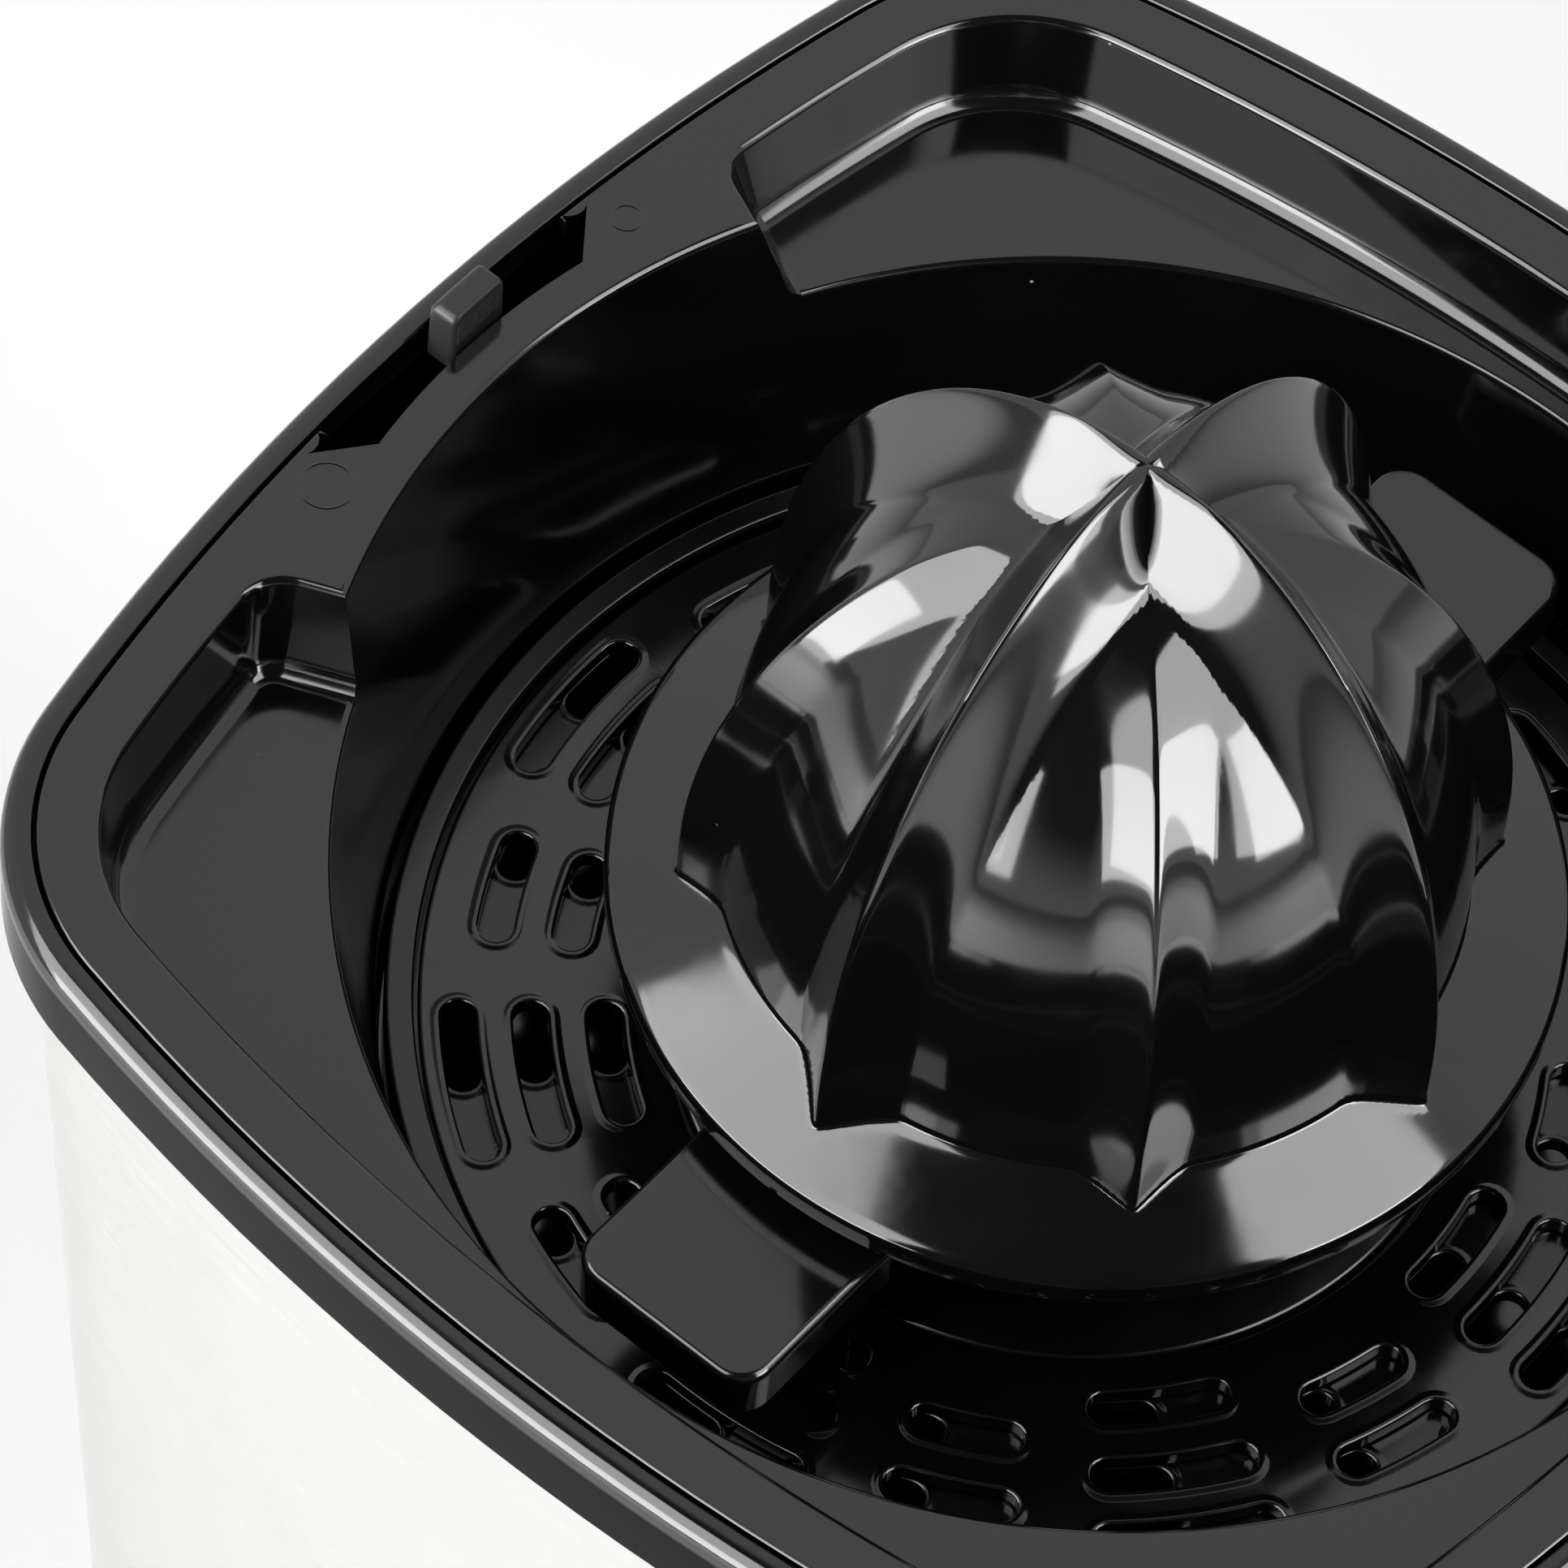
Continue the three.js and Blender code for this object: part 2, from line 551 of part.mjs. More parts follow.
// ---------------------------------------------------------------- strainer and pulp disc
function slotPath(radius, centreAngle, span) {
  const endAngle = span / 2 - SLOT_HALF_WIDTH / radius;
  const [a0, a1] = [centreAngle - endAngle, centreAngle + endAngle];
  const ends = [a1, a0].map((a) => [radius * Math.cos(a), radius * Math.sin(a)]);
  const path = new THREE.Path();
  path.absarc(0, 0, radius + SLOT_HALF_WIDTH, a0, a1, false);
  path.absarc(...ends[0], SLOT_HALF_WIDTH, a1, a1 + Math.PI, false);
  path.absarc(0, 0, radius - SLOT_HALF_WIDTH, a1, a0, true);
  path.absarc(...ends[1], SLOT_HALF_WIDTH, a0 + Math.PI, a0 + 2 * Math.PI, false);
  return path;
}

// Ring plate with the pattern of juice slots, turned by the given angle.
function slottedPlate(outer, inner, turn, zRange) {
  const shape = new THREE.Shape();
  shape.absarc(0, 0, outer, 0, 2 * Math.PI, false);
  const hole = new THREE.Path();
  hole.absarc(0, 0, inner, 0, 2 * Math.PI, true);
  const plate = extruded(shape, zRange, 24);
  const cutters = [];
  for (let group = 0; group < SLOT_GROUPS; group += 1) {
    const angle = SLOT_START + turn + group * 2 * Math.PI / SLOT_GROUPS;
    const between = angle + Math.PI / SLOT_GROUPS;
    LONG_SLOT_RADII.forEach((r) => cutters.push(slotPath(r, angle, LONG_SLOT_SPAN)));
    SHORT_SLOT_RADII.forEach((r) => cutters.push(slotPath(r, between, SHORT_SLOT_SPAN)));
  }
  const deep = [zRange[0] - 1, zRange[1] + 1];
  const bodies = cutters.map((path) => extruded(new THREE.Shape(path.getPoints(1)), deep));
  return cut(plate, extruded(new THREE.Shape(hole.getPoints(24)), deep), ...bodies);
}

function makeStrainer() {
  const plateZ = [DISC_Z0 - GAP - PLATE_T, DISC_Z0 - GAP];
  const plate = slottedPlate(BAND_INNER_R + 0.5, CONE_R - 3, -DISC_SETTING, plateZ);
  const band = turned([
    [BAND_INNER_R, STRAINER_LEDGE_Z + GAP],
    [STRAINER_R, STRAINER_LEDGE_Z + GAP],
    [STRAINER_R, BAND_Z],
    [BAND_INNER_R, BAND_Z],
  ]);
  const cone = turned([
    [CONE_R - 4, plateZ[0]],
    [CONE_R, plateZ[0]],
    [CONE_R, plateZ[1] + 1.2],
    [CONE_TOP_R, CONE_TOP_Z],
    [CONE_HOLE_R, CONE_TOP_Z],
    [CONE_HOLE_R, CONE_TOP_Z - 2.4],
    [CONE_TOP_R, CONE_TOP_Z - 2],
  ], 32);
  return join(plate, band, cone);
}

function makeTab(turn) {
  const shape = new THREE.Shape();
  shape.moveTo(TAB_X0, -TAB_HALF);
  shape.lineTo(TAB_X1 - TAB_CORNER, -TAB_HALF);
  const arcX = TAB_X1 - TAB_CORNER;
  const arcY = TAB_HALF - TAB_CORNER;
  shape.absarc(arcX, -arcY, TAB_CORNER, -Math.PI / 2, 0, false);
  shape.absarc(arcX, arcY, TAB_CORNER, 0, Math.PI / 2, false);
  shape.lineTo(TAB_X0, TAB_HALF);
  const grip = extruded(shape, [TAB_Z0, TAB_Z1], 4);
  const stemX = [TAB_X0, TAB_X0 + TAB_STEM_T];
  const stem = box(stemX, [-TAB_STEM_HALF, TAB_STEM_HALF], [DISC_Z0 + 0.2, TAB_Z0 + 1]);
  return solid(toGeometry(join(grip, stem)).rotateZ(turn));
}

function makePulpDisc() {
  const plate = slottedPlate(DISC_R, DISC_INNER_R, 0, [DISC_Z0, DISC_Z1]);
  return join(plate, makeTab(0), makeTab(Math.PI));
}

// ---------------------------------------------------------------- reamer
// Distance from the dome's centre to an ellipse, at an elevation above the horizon.
function ellipseReach({ radius, height }, elevation) {
  return 1 / Math.hypot(Math.cos(elevation) / radius, Math.sin(elevation) / height);
}

// How much of a rib is present at a sideways distance from its crest.
function ribShare(sideways, width) {
  return Math.max(0, 1 - sideways / width) ** RIB_SHARPNESS;
}

function reamerReach(angle, elevation) {
  const base = ellipseReach(VALLEY, elevation);
  const out = base * Math.cos(elevation);
  const toTall = Math.asin(Math.abs(Math.sin(2 * angle))) / 2;
  const toLow = Math.PI / 4 - toTall;
  const fade = THREE.MathUtils.smoothstep(out, LOW_RIB_FROM, LOW_RIB_FULL);
  const tall = (ellipseReach(TALL_RIB, elevation) - base) * ribShare(out * toTall, TALL_RIB_WIDTH);
  const low = (ellipseReach(LOW_RIB, elevation) - base) * ribShare(out * toLow, LOW_RIB_WIDTH);
  return base + Math.max(tall, low * fade);
}

function makeReamerDome() {
  const rows = 10;
  const columns = 40;
  const points = [[0, 200], [1, 200]];
  for (let row = 0; row <= rows; row += 1) points.push([2, 201 + row]);
  points.push([0, 240]);
  const profile = points.map(([r, z]) => new THREE.Vector2(r, z));
  const geometry = new THREE.LatheGeometry(profile, columns);
  geometry.rotateX(Math.PI / 2);
  const position = geometry.attributes.position;
  for (let column = 0; column <= columns; column += 1) {
    const angle = (column % columns) * 2 * Math.PI / columns;
    for (let row = 0; row <= rows + 1; row += 1) {
      const elevation = Math.max(0, row - 1) / rows * Math.PI / 2 * 0.965;
      const reach = reamerReach(angle, elevation);
      const z = row === 0 ? FLANGE_Z0 + 2 : DOME_Z + reach * Math.sin(elevation);
      const r = reach * Math.cos(elevation);
      const index = column * points.length + row + 1;
      position.setXYZ(index, r * Math.cos(angle), r * Math.sin(angle), Math.min(z, APEX_Z));
    }
    position.setXYZ(column * points.length, 0, 0, FLANGE_Z0 + 2);
    position.setXYZ(column * points.length + points.length - 1, 0, 0, APEX_Z);
  }
  return solid(geometry);
}

function makeReamer() {
  const flange = turned([
    [0, FLANGE_Z0],
    [FLANGE_R, FLANGE_Z0],
    [FLANGE_R, FLANGE_Z0 + 2],
    [FLANGE_R - 0.8, FLANGE_Z0 + 2.9],
    [VALLEY.radius, SKIRT_TOP_Z],
    [0, SKIRT_TOP_Z],
  ]);
  const cavityRadius = VALLEY.radius - REAMER_WALL;
  const cavityHeight = VALLEY.height - REAMER_WALL;
  const arc = [];
  for (let step = 0; step <= 4; step += 1) {
    const angle = step / 4 * 1.3;
    arc.push([cavityRadius * Math.cos(angle), DOME_Z - 2 + cavityHeight * Math.sin(angle)]);
  }
  const cavity = turned([
    [HUB_R, FLANGE_Z0 - 1],
    [FLANGE_R - 3.4, FLANGE_Z0 - 1],
    [FLANGE_R - 3.4, FLANGE_Z0],
    [cavityRadius, DOME_Z - 4],
    ...arc,
    [HUB_R, DOME_Z - 2 + cavityHeight * Math.sin(1.3)],
  ], 24);
  const hub = cylinder(HUB_R, [HUB_Z0, DOME_Z + 20], [0, 0], 32);
  const socketSide = [-SOCKET_HALF, SOCKET_HALF];
  const socket = box(socketSide, socketSide, [HUB_Z0 - 1, SOCKET_Z1]);
  return makeReamerDome().add(flange).subtract(cavity).add(hub).subtract(socket);
}

function makeReamerBush() {
  const sleeve = cylinder(CHIMNEY_R - GAP, [CHIMNEY_Z - 8, CHIMNEY_Z + GAP + 0.5], [0, 0], 32);
  const collar = cylinder(10.3, [CHIMNEY_Z + GAP, CHIMNEY_Z + 2], [0, 0], 32);
  return join(sleeve, collar).subtract(cylinder(6.4, [CHIMNEY_Z - 9, CHIMNEY_Z + 3], [0, 0], 32));
}

function makeThrustWasher() {
  return ring(HUB_R - 0.6, 6.4, [HUB_Z0 - 1.7, HUB_Z0 - GAP]);
}

// ---------------------------------------------------------------- gears
// Involute spur gear outline. Tooth zero is centred on the angle `phase`. The flanks
// of a large wheel are so nearly straight that two points each are enough.
function gearShape(teeth, phase) {
  const pitchR = teeth * MODULE / 2;
  const baseR = pitchR * Math.cos(PRESSURE_ANGLE);
  const tipR = pitchR + ADDENDUM * MODULE;
  const rootR = pitchR - DEDENDUM * MODULE;
  const involute = (r) => {
    const a = Math.acos(Math.min(1, baseR / r));
    return Math.tan(a) - a;
  };
  const halfTooth = Math.PI / (2 * teeth) - BACKLASH / (2 * pitchR);
  const straight = teeth > 4 * PINION_TEETH;
  const flank = straight ? [rootR, tipR] : [rootR, pitchR, tipR];
  const points = [];
  for (let tooth = 0; tooth < teeth; tooth += 1) {
    const middle = phase + tooth * 2 * Math.PI / teeth;
    const offsets = flank.map((r) => halfTooth + involute(pitchR) - involute(Math.max(r, baseR)));
    flank.forEach((r, i) => points.push([r, middle - offsets[i]]));
    const last = flank.length - 1;
    [...flank].reverse().forEach((r, i) => points.push([r, middle + offsets[last - i]]));
  }
  return new THREE.Shape(points.map(([r, a]) => new THREE.Vector2(r * Math.cos(a), r * Math.sin(a))));
}

function gear(teeth, phase, zRange) {
  return extruded(gearShape(teeth, phase), zRange, 1);
}

// Phases that put a tooth of one gear in a gap of the other on each line of centres.
const OUTPUT_PHASE = MIDDLE_ANGLE;
const MIDDLE_PINION_PHASE = MIDDLE_ANGLE + Math.PI + Math.PI / PINION_TEETH;
const MIDDLE_PHASE = MOTOR_ANGLE;
const MOTOR_PINION_PHASE = MOTOR_ANGLE + Math.PI + Math.PI / PINION_TEETH;

function makeOutputGear() {
  const wheel = gear(OUTPUT_TEETH, OUTPUT_PHASE, [128, 134]);
  const hub = cylinder(8, [122.5, 138]);
  return join(wheel, hub).subtract(cylinder(SPINDLE_R + GAP, [120, 140]));
}

function makeMiddleGear() {
  const wheel = gear(MIDDLE_TEETH, MIDDLE_PHASE, [113, 119]);
  const hub = cylinder(4.6, [118, 125], [0, 0], 16);
  const pinion = gear(PINION_TEETH, MIDDLE_PINION_PHASE, [124, 138]);
  const bored = join(wheel, hub, pinion).subtract(cylinder(2.3, [110, 140], [0, 0], 16));
  return solid(toGeometry(bored).translate(MIDDLE_X, MIDDLE_Y, 0));
}

function makeMotorShaft() {
  const rod = cylinder(2.5, [58, 112], [0, 0], 16);
  const pinion = gear(PINION_TEETH, MOTOR_PINION_PHASE, [111, 121]);
  return solid(toGeometry(join(rod, pinion)).translate(MOTOR_X, MOTOR_Y, 0));
}

// ---------------------------------------------------------------- drive
function makeSpindle() {
  const rod = cylinder(SPINDLE_R, [SPINDLE_Z0, SQUARE_Z0 + 1]);
  const side = [-SQUARE_HALF, SQUARE_HALF];
  const square = box(side, side, [SQUARE_Z0, SQUARE_Z1]);
  const groove = ring(6, SPINDLE_R - 0.7, [120.2, 121.6]);
  return join(rod, square).subtract(groove);
}

function makeSpindleClip() {
  const clip = ring(6.4, SPINDLE_R - 0.4, [120.5, 121.3]);
  return clip.subtract(box([-2, 2], [2, 8], [120, 122]));
}

function caseOutline(extra, zRange) {
  return join(
    cylinder(29.5 + extra, zRange, [0, 0], 32),
    cylinder(27.5 + extra, zRange, [MIDDLE_X, MIDDLE_Y], 32),
    cylinder(9 + extra, zRange, [MOTOR_X, MOTOR_Y], 16),
  );
}

function makeGearCase() {
  const top = DECK_Z0 - GAP;
  const shell = caseOutline(CASE_WALL, [CASE_Z0, top]);
  let gearCase = shell.subtract(caseOutline(0, [CASE_Z0 + CASE_FLOOR, top + 1]));
  gearCase = gearCase.add(cylinder(SPRING_TUBE_R + 2, [86, CASE_Z0 + 1]));
  gearCase = gearCase.subtract(cylinder(SPRING_TUBE_R, [85, CASE_Z0 - 1.5]));
  gearCase = gearCase.subtract(cylinder(SPINDLE_R + 0.4, [100, CASE_Z0 + 4]));
  gearCase = gearCase.subtract(cylinder(2.3, [100, CASE_Z0 + 4], [MIDDLE_X, MIDDLE_Y], 16));
  gearCase = gearCase.subtract(cylinder(4, [100, CASE_Z0 + 4], [MOTOR_X, MOTOR_Y], 16));
  EAR_POSITIONS.forEach((at) => {
    const ear = cylinder(4.5, [EAR_Z0, EAR_Z1], at, 16);
    const [x, y] = at;
    const neck = cylinder(4, [EAR_Z0, EAR_Z1], [x * 0.9, y * 0.9], 16);
    const inside = caseOutline(0, [EAR_Z0 - 1, EAR_Z1 + 1]);
    gearCase = gearCase.add(join(ear, neck).subtract(inside));
    gearCase = gearCase.subtract(cylinder(1.7, [EAR_Z0 - 1, EAR_Z1 + 1], at, 12));
  });
  return gearCase;
}

function makeSpringCup() {
  const head = cylinder(8, [100, SPINDLE_Z0 - GAP]);
  return head.add(cylinder(2.5, [CUP_STEM_Z0, 101], [0, 0], 16));
}

class Helix extends THREE.Curve {
  constructor(radius, z0, z1, turns) {
    super();
    Object.assign(this, { radius, z0, z1, turns });
  }

  getPoint(t) {
    const angle = 2 * Math.PI * this.turns * t;
    const z = THREE.MathUtils.lerp(this.z0, this.z1, t);
    return new THREE.Vector3(this.radius * Math.cos(angle), this.radius * Math.sin(angle), z);
  }
}

function tube(curve, radius, steps, sides) {
  const section = new THREE.Shape();
  section.absarc(0, 0, radius, 0, 2 * Math.PI, false);
  const shape = new THREE.Shape(section.getPoints(sides).slice(0, sides));
  return solid(new THREE.ExtrudeGeometry(shape, { steps, extrudePath: curve, bevelEnabled: false }));
}

function makePressSpring() {
  const helix = new Helix(5.6, SPRING_SEAT_Z1 + 1, 99, SPRING_TURNS);
  return tube(helix, 0.6, SPRING_TURNS * 10, 6);
}

function makeSwitchBody() {
  const block = box([-9.5, 10], [-4, 4], [SWITCH_Z0, SWITCH_Z1]);
  const terminals = [-6, 0, 6].map((x) => box([x - 0.4, x + 0.4], [3, 8], [63, 67]));
  return join(block, ...terminals).subtract(cylinder(2.1, [70, 80], [0, 0], 16));
}

function makeSwitchBracket() {
  const arm = box([-13, -11], [-5, 5], [57.5, CASE_Z0 - GAP]);
  const shelf = box([-12, 10], [-5, 5], [57.5, SWITCH_Z0 - GAP]);
  const foot = box([-20, -12], [-5, 5], [CASE_Z0 - GAP - 1.5, CASE_Z0 - GAP]);
  return join(arm, shelf, foot);
}

function makeMotorCan() {
  const at = [MOTOR_X, MOTOR_Y];
  const can = cylinder(MOTOR_R, [MOTOR_Z0, MOTOR_Z1], at, 32);
  const inside = cylinder(MOTOR_R - 1.2, [MOTOR_Z0 + 1.2, MOTOR_Z1 + 1], at, 32);
  return cut(can, inside, cylinder(2.9, [MOTOR_Z0 - 1, MOTOR_Z0 + 3], at, 16));
}

function makeBobbin() {
  const at = [MOTOR_X, MOTOR_Y];
  const core = cylinder(15.4, [66, 100], at, 24);
  const flanges = [[66, 67.5], [98.5, 100]].map((zRange) => cylinder(25.4, zRange, at, 24));
  return join(core, ...flanges).subtract(cylinder(14.2, [60, 110], at, 24));
}

// Internal wires, each held between two terminals.
const LEADS = {
  lead_inlet_switch: {
    material: brownInsulation,
    points: [[1.4, 74, 26], [1.4, 60, 24], [-14, 40, 26], [-20, 22, 44], [-12, 11, 60], [-6, 9, 65]],
  },
  lead_switch_motor: {
    material: brownInsulation,
    points: [[6, 9, 65], [6, 8.6, 59], [7, 12, 53], [11, 20, 51], [13.2, 26, 54], [13.2, 27, 61]],
  },
  lead_inlet_motor: {
    material: blueInsulation,
    points: [[-1.4, 74, 26], [-1.4, 64, 30], [2, 56, 40], [9, 50, 50], [12, 48, 56], [13.2, 48, 61]],
  },
};

function makeLead(points) {
  const curve = new THREE.CatmullRomCurve3(points.map((point) => new THREE.Vector3(...point)));
  return tube(curve, 1, 14, 8);
}

// ---------------------------------------------------------------- assembly
const group = new THREE.Group();
group.position.y = AXIS_Y;

function place(name, body, finish) {
  const mesh = new THREE.Mesh(toGeometry(body), finish);
  mesh.name = name;
  group.add(mesh);
}

const motorAt = [MOTOR_X, MOTOR_Y];
place('base_plate', makeBasePlate(), blackSatin);
footPositions().forEach(({ name, at }) => place(`foot_${name}`, makeFoot(at), rubber));
BOSS_POSITIONS.forEach((at, i) => {
  place(`base_screw_${i + 1}`, makeScrew(at, 6.4, 2.5, 3.3, 27), zincSteel);
});
place('housing_sleeve', makeSleeve(), brushedSteel);
place('top_cover', makeTopCover(), blackGloss);
place('cord_gland', makeCordGland(), rubber);
place('spindle_bush', ring(6.9, SPINDLE_R + 0.3, [141, 151.7]), whiteAcetal);
place('spindle_seal', ring(6.9, SPINDLE_R + 0.3, [152, 155.2]), rubber);
place('gear_case', makeGearCase(), greyPlastic);
EAR_POSITIONS.forEach((at, i) => {
  place(`case_screw_${i + 1}`, makeScrew(at, EAR_Z0 - 2.5, 2.2, 2.8, 148.4), zincSteel);
});
place('middle_gear_pin', cylinder(2, [CASE_Z0 + 0.2, DECK_Z0 - 0.5], [MIDDLE_X, MIDDLE_Y], 16), zincSteel);
place('spring_seat', ring(SPRING_TUBE_R - GAP, 2.9, [88, SPRING_SEAT_Z1]), zincSteel);
place('press_spring', makePressSpring(), springSteel);
place('switch_bracket', makeSwitchBracket(), zincSteel);
place('switch_body', makeSwitchBody(), blackSatin);
place('motor_can', makeMotorCan(), zincSteel);
place('motor_lid', ring(MOTOR_R, 4, [MOTOR_Z1 + GAP, CASE_Z0 - GAP], motorAt, 32), zincSteel);
place('coil_bobbin', makeBobbin(), whiteAcetal);
place('motor_winding', ring(24.5, 15.9, [67.9, 98.1], motorAt, 24), copperWire);
Object.entries(LEADS).forEach(([name, lead]) => place(name, makeLead(lead.points), lead.material));

place('spring_cup', makeSpringCup(), whiteAcetal);
place('spindle', makeSpindle(), zincSteel);
place('output_gear', makeOutputGear(), whiteAcetal);
place('spindle_clip', makeSpindleClip(), springSteel);
place('middle_gear', makeMiddleGear(), whiteAcetal);
place('motor_shaft', makeMotorShaft(), zincSteel);
place('motor_magnet', ring(13.4, 2.9, [68, 98], motorAt, 24), magnet);
place('switch_button', cylinder(1.8, [72.8, CUP_STEM_Z0 - GAP], [0, 0], 12), whiteAcetal);

place('juice_tray', makeTray(), blackGloss);
place('spout_pin', makeSpoutPin(), zincSteel);
place('spout_flap', makeSpoutFlap(), blackGloss);
place('strainer', makeStrainer(), blackGloss);
place('pulp_disc', makePulpDisc(), blackGloss);
place('reamer_bush', makeReamerBush(), whiteAcetal);
place('thrust_washer', makeThrustWasher(), whiteAcetal);
place('reamer', makeReamer(), blackGloss);

export default group;
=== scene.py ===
import json
import math

import bmesh
import bpy
from mathutils import Matrix, Vector


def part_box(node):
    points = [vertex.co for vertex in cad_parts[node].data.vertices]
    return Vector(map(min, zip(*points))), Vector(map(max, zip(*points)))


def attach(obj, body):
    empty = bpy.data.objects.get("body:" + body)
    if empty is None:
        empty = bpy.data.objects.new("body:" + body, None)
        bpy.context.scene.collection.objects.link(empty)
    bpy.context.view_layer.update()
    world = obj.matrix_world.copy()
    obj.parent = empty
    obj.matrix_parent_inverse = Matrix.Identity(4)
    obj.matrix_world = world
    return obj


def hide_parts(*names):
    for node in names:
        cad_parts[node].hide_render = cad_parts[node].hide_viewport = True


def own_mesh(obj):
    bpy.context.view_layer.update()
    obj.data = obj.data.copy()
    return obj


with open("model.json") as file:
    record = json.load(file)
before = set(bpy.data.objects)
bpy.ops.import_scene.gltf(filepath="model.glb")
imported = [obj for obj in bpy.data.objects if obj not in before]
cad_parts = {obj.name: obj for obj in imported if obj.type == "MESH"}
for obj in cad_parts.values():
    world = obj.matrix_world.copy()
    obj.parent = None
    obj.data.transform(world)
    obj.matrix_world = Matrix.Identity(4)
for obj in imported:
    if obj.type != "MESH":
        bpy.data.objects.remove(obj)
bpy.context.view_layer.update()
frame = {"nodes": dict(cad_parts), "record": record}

# Lengths below are millimetres about the reamer's axis; heights are above the worktop.
MM = 0.001
reamer_low, reamer_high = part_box("reamer")
cover_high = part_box("top_cover")[1]
tray_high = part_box("juice_tray")[1]
sleeve_low, sleeve_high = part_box("housing_sleeve")
AXIS_X = (reamer_low.x + reamer_high.x) / 2
AXIS_Y = (reamer_low.y + reamer_high.y) / 2

# Housing outline: a square with bowed sides and round corners.
OUTER_HALF = cover_high.x / MM
SIDE_BOW_R = 280.0
CORNER_R = 28.0
SIDE_OFFSET = SIDE_BOW_R - OUTER_HALF
CORNER_CENTRE = (math.sqrt(2 * (SIDE_BOW_R - CORNER_R) ** 2 - SIDE_OFFSET ** 2) - SIDE_OFFSET) / 2
SIDE_ANGLE = math.atan2(CORNER_CENTRE, CORNER_CENTRE + SIDE_OFFSET)
SIDE_STEPS, CORNER_STEPS = 22, 18

# Housing, from the rim down. A name in _HALF is half the width across the flats.
RIM_Z = tray_high.z / MM
RING_HEIGHT = 10
RING_Z = RIM_Z - RING_HEIGHT
SEAM_HALF = OUTER_HALF - 2.9
TRAY_HALF = tray_high.x / MM
SLEEVE_Z0 = sleeve_low.z / MM
SLEEVE_Z1 = sleeve_high.z / MM
SLEEVE_HALF = sleeve_high.x / MM
SLEEVE_WALL = 1.2
SLEEVE_MIDDLE = 100
SLEEVE_NARROWING = 0.08
SLEEVE_TAPER = SLEEVE_NARROWING / (SLEEVE_Z1 - SLEEVE_Z0)
LEDGE_Z = RIM_Z - 2.8
LEDGE_HALF = 78.0
WELL_STEP_Z = 193.0
WELL_HALF = 74.3
DECK_Z0 = 148.0
DECK_Z1 = 150.5
NOTCH_HALF = 16.0
APRON_Z0 = 152.6
CORD_Z = 26
SCREW_HOLE_R = 1.7

# Places of the housing's bosses, the gear case's ears and the feet.
BOSSES = [(-62, -38), (62, -38), (62, 38), (-62, 38)]
EARS = [(-30, -20), (20, -32), (-18, 31)]
FEET = {"front_left": (-50, -50), "front_right": (50, -50), "rear_right": (50, 50), "rear_left": (-50, 50)}

# Rear lug, in the slot of the tray's rim.
LUG_X, LUG_HALF = 1.9, 3.6
LUG_FRONT, LUG_BACK = 76.8, 80.15

# Tray: spill pocket, bowl, chimney and trough.
POCKET_HALF = 74.8
POCKET_DEPTH = 10.7
POCKET_Z = RIM_Z - POCKET_DEPTH
POCKET_CORNERS = (4.6, 3.4)
LAND_ANGLE = math.radians(24.1)
TRAY_WALL = 2.2
ROUND_STEPS = 240
BOWL_R = 72.0
BOWL_LOW_R = 65.2
BOWL_LOW_Z = 177.0
LEDGE_R = 61.8
STRAINER_Z = 168.0
FLOOR_Z = 159.0
UNDER_Z = 157.0
CHIMNEY_R = 8.5
CHIMNEY_Z = 182.0
TROUGH_HALF = 7.0
TROUGH_Z0, TROUGH_Z1 = 156.5, 167.5

# Pulp disc, juice slots and spout pin.
DISC_Z0 = 173.6
DISC_Z1 = 175.2
SLOT_HALF_WIDTH = 1.7
PIN_Y = -88.5
PIN_Z = 162.0


# ---------------------------------------------------------------- shapes
# A shape is a pair of lists: points in millimetres, and faces.
def arc(centre, radius, start, end, steps):
    """Points of an arc, without its last point."""
    points = []
    for i in range(steps):
        angle = start + (end - start) * i / steps
        points.append((centre[0] + radius * math.cos(angle), centre[1] + radius * math.sin(angle)))
    return points


def quarter_turn(steps):
    """Angles from 0 to 90 degrees."""
    return [k / steps * math.pi / 2 for k in range(steps + 1)]


def outline(half):
    """The housing outline at a half width: four side arcs joined by four corner arcs."""
    inset = OUTER_HALF - half
    reach = CORNER_CENTRE * math.sqrt(2)
    points = []
    for quarter in range(4):
        turn = quarter * math.pi / 2
        diagonal = turn + math.pi / 4
        side = (-SIDE_OFFSET * math.cos(turn), -SIDE_OFFSET * math.sin(turn))
        corner = (reach * math.cos(diagonal), reach * math.sin(diagonal))
        start, end = turn + SIDE_ANGLE, turn + math.pi / 2 - SIDE_ANGLE
        points += arc(side, SIDE_BOW_R - inset, turn - SIDE_ANGLE, start, SIDE_STEPS)
        points += arc(corner, CORNER_R - inset, start, end, CORNER_STEPS)
    return points


def sleeve_scale(z):
    """Scale of the sleeve's outline at a height. It narrows towards the foot."""
    return 1 - SLEEVE_TAPER * (SLEEVE_Z1 - z)


def at_height(points, z, scale=1.0):
    return [(x * scale, y * scale, z) for x, y in points]


def bend(centre, first, last, steps):
    """Points of the shorter arc between two points, without the last point."""
    a, b = first - centre, last - centre
    return [tuple(centre + a.slerp(b, k / steps) * a.length) for k in range(steps)]


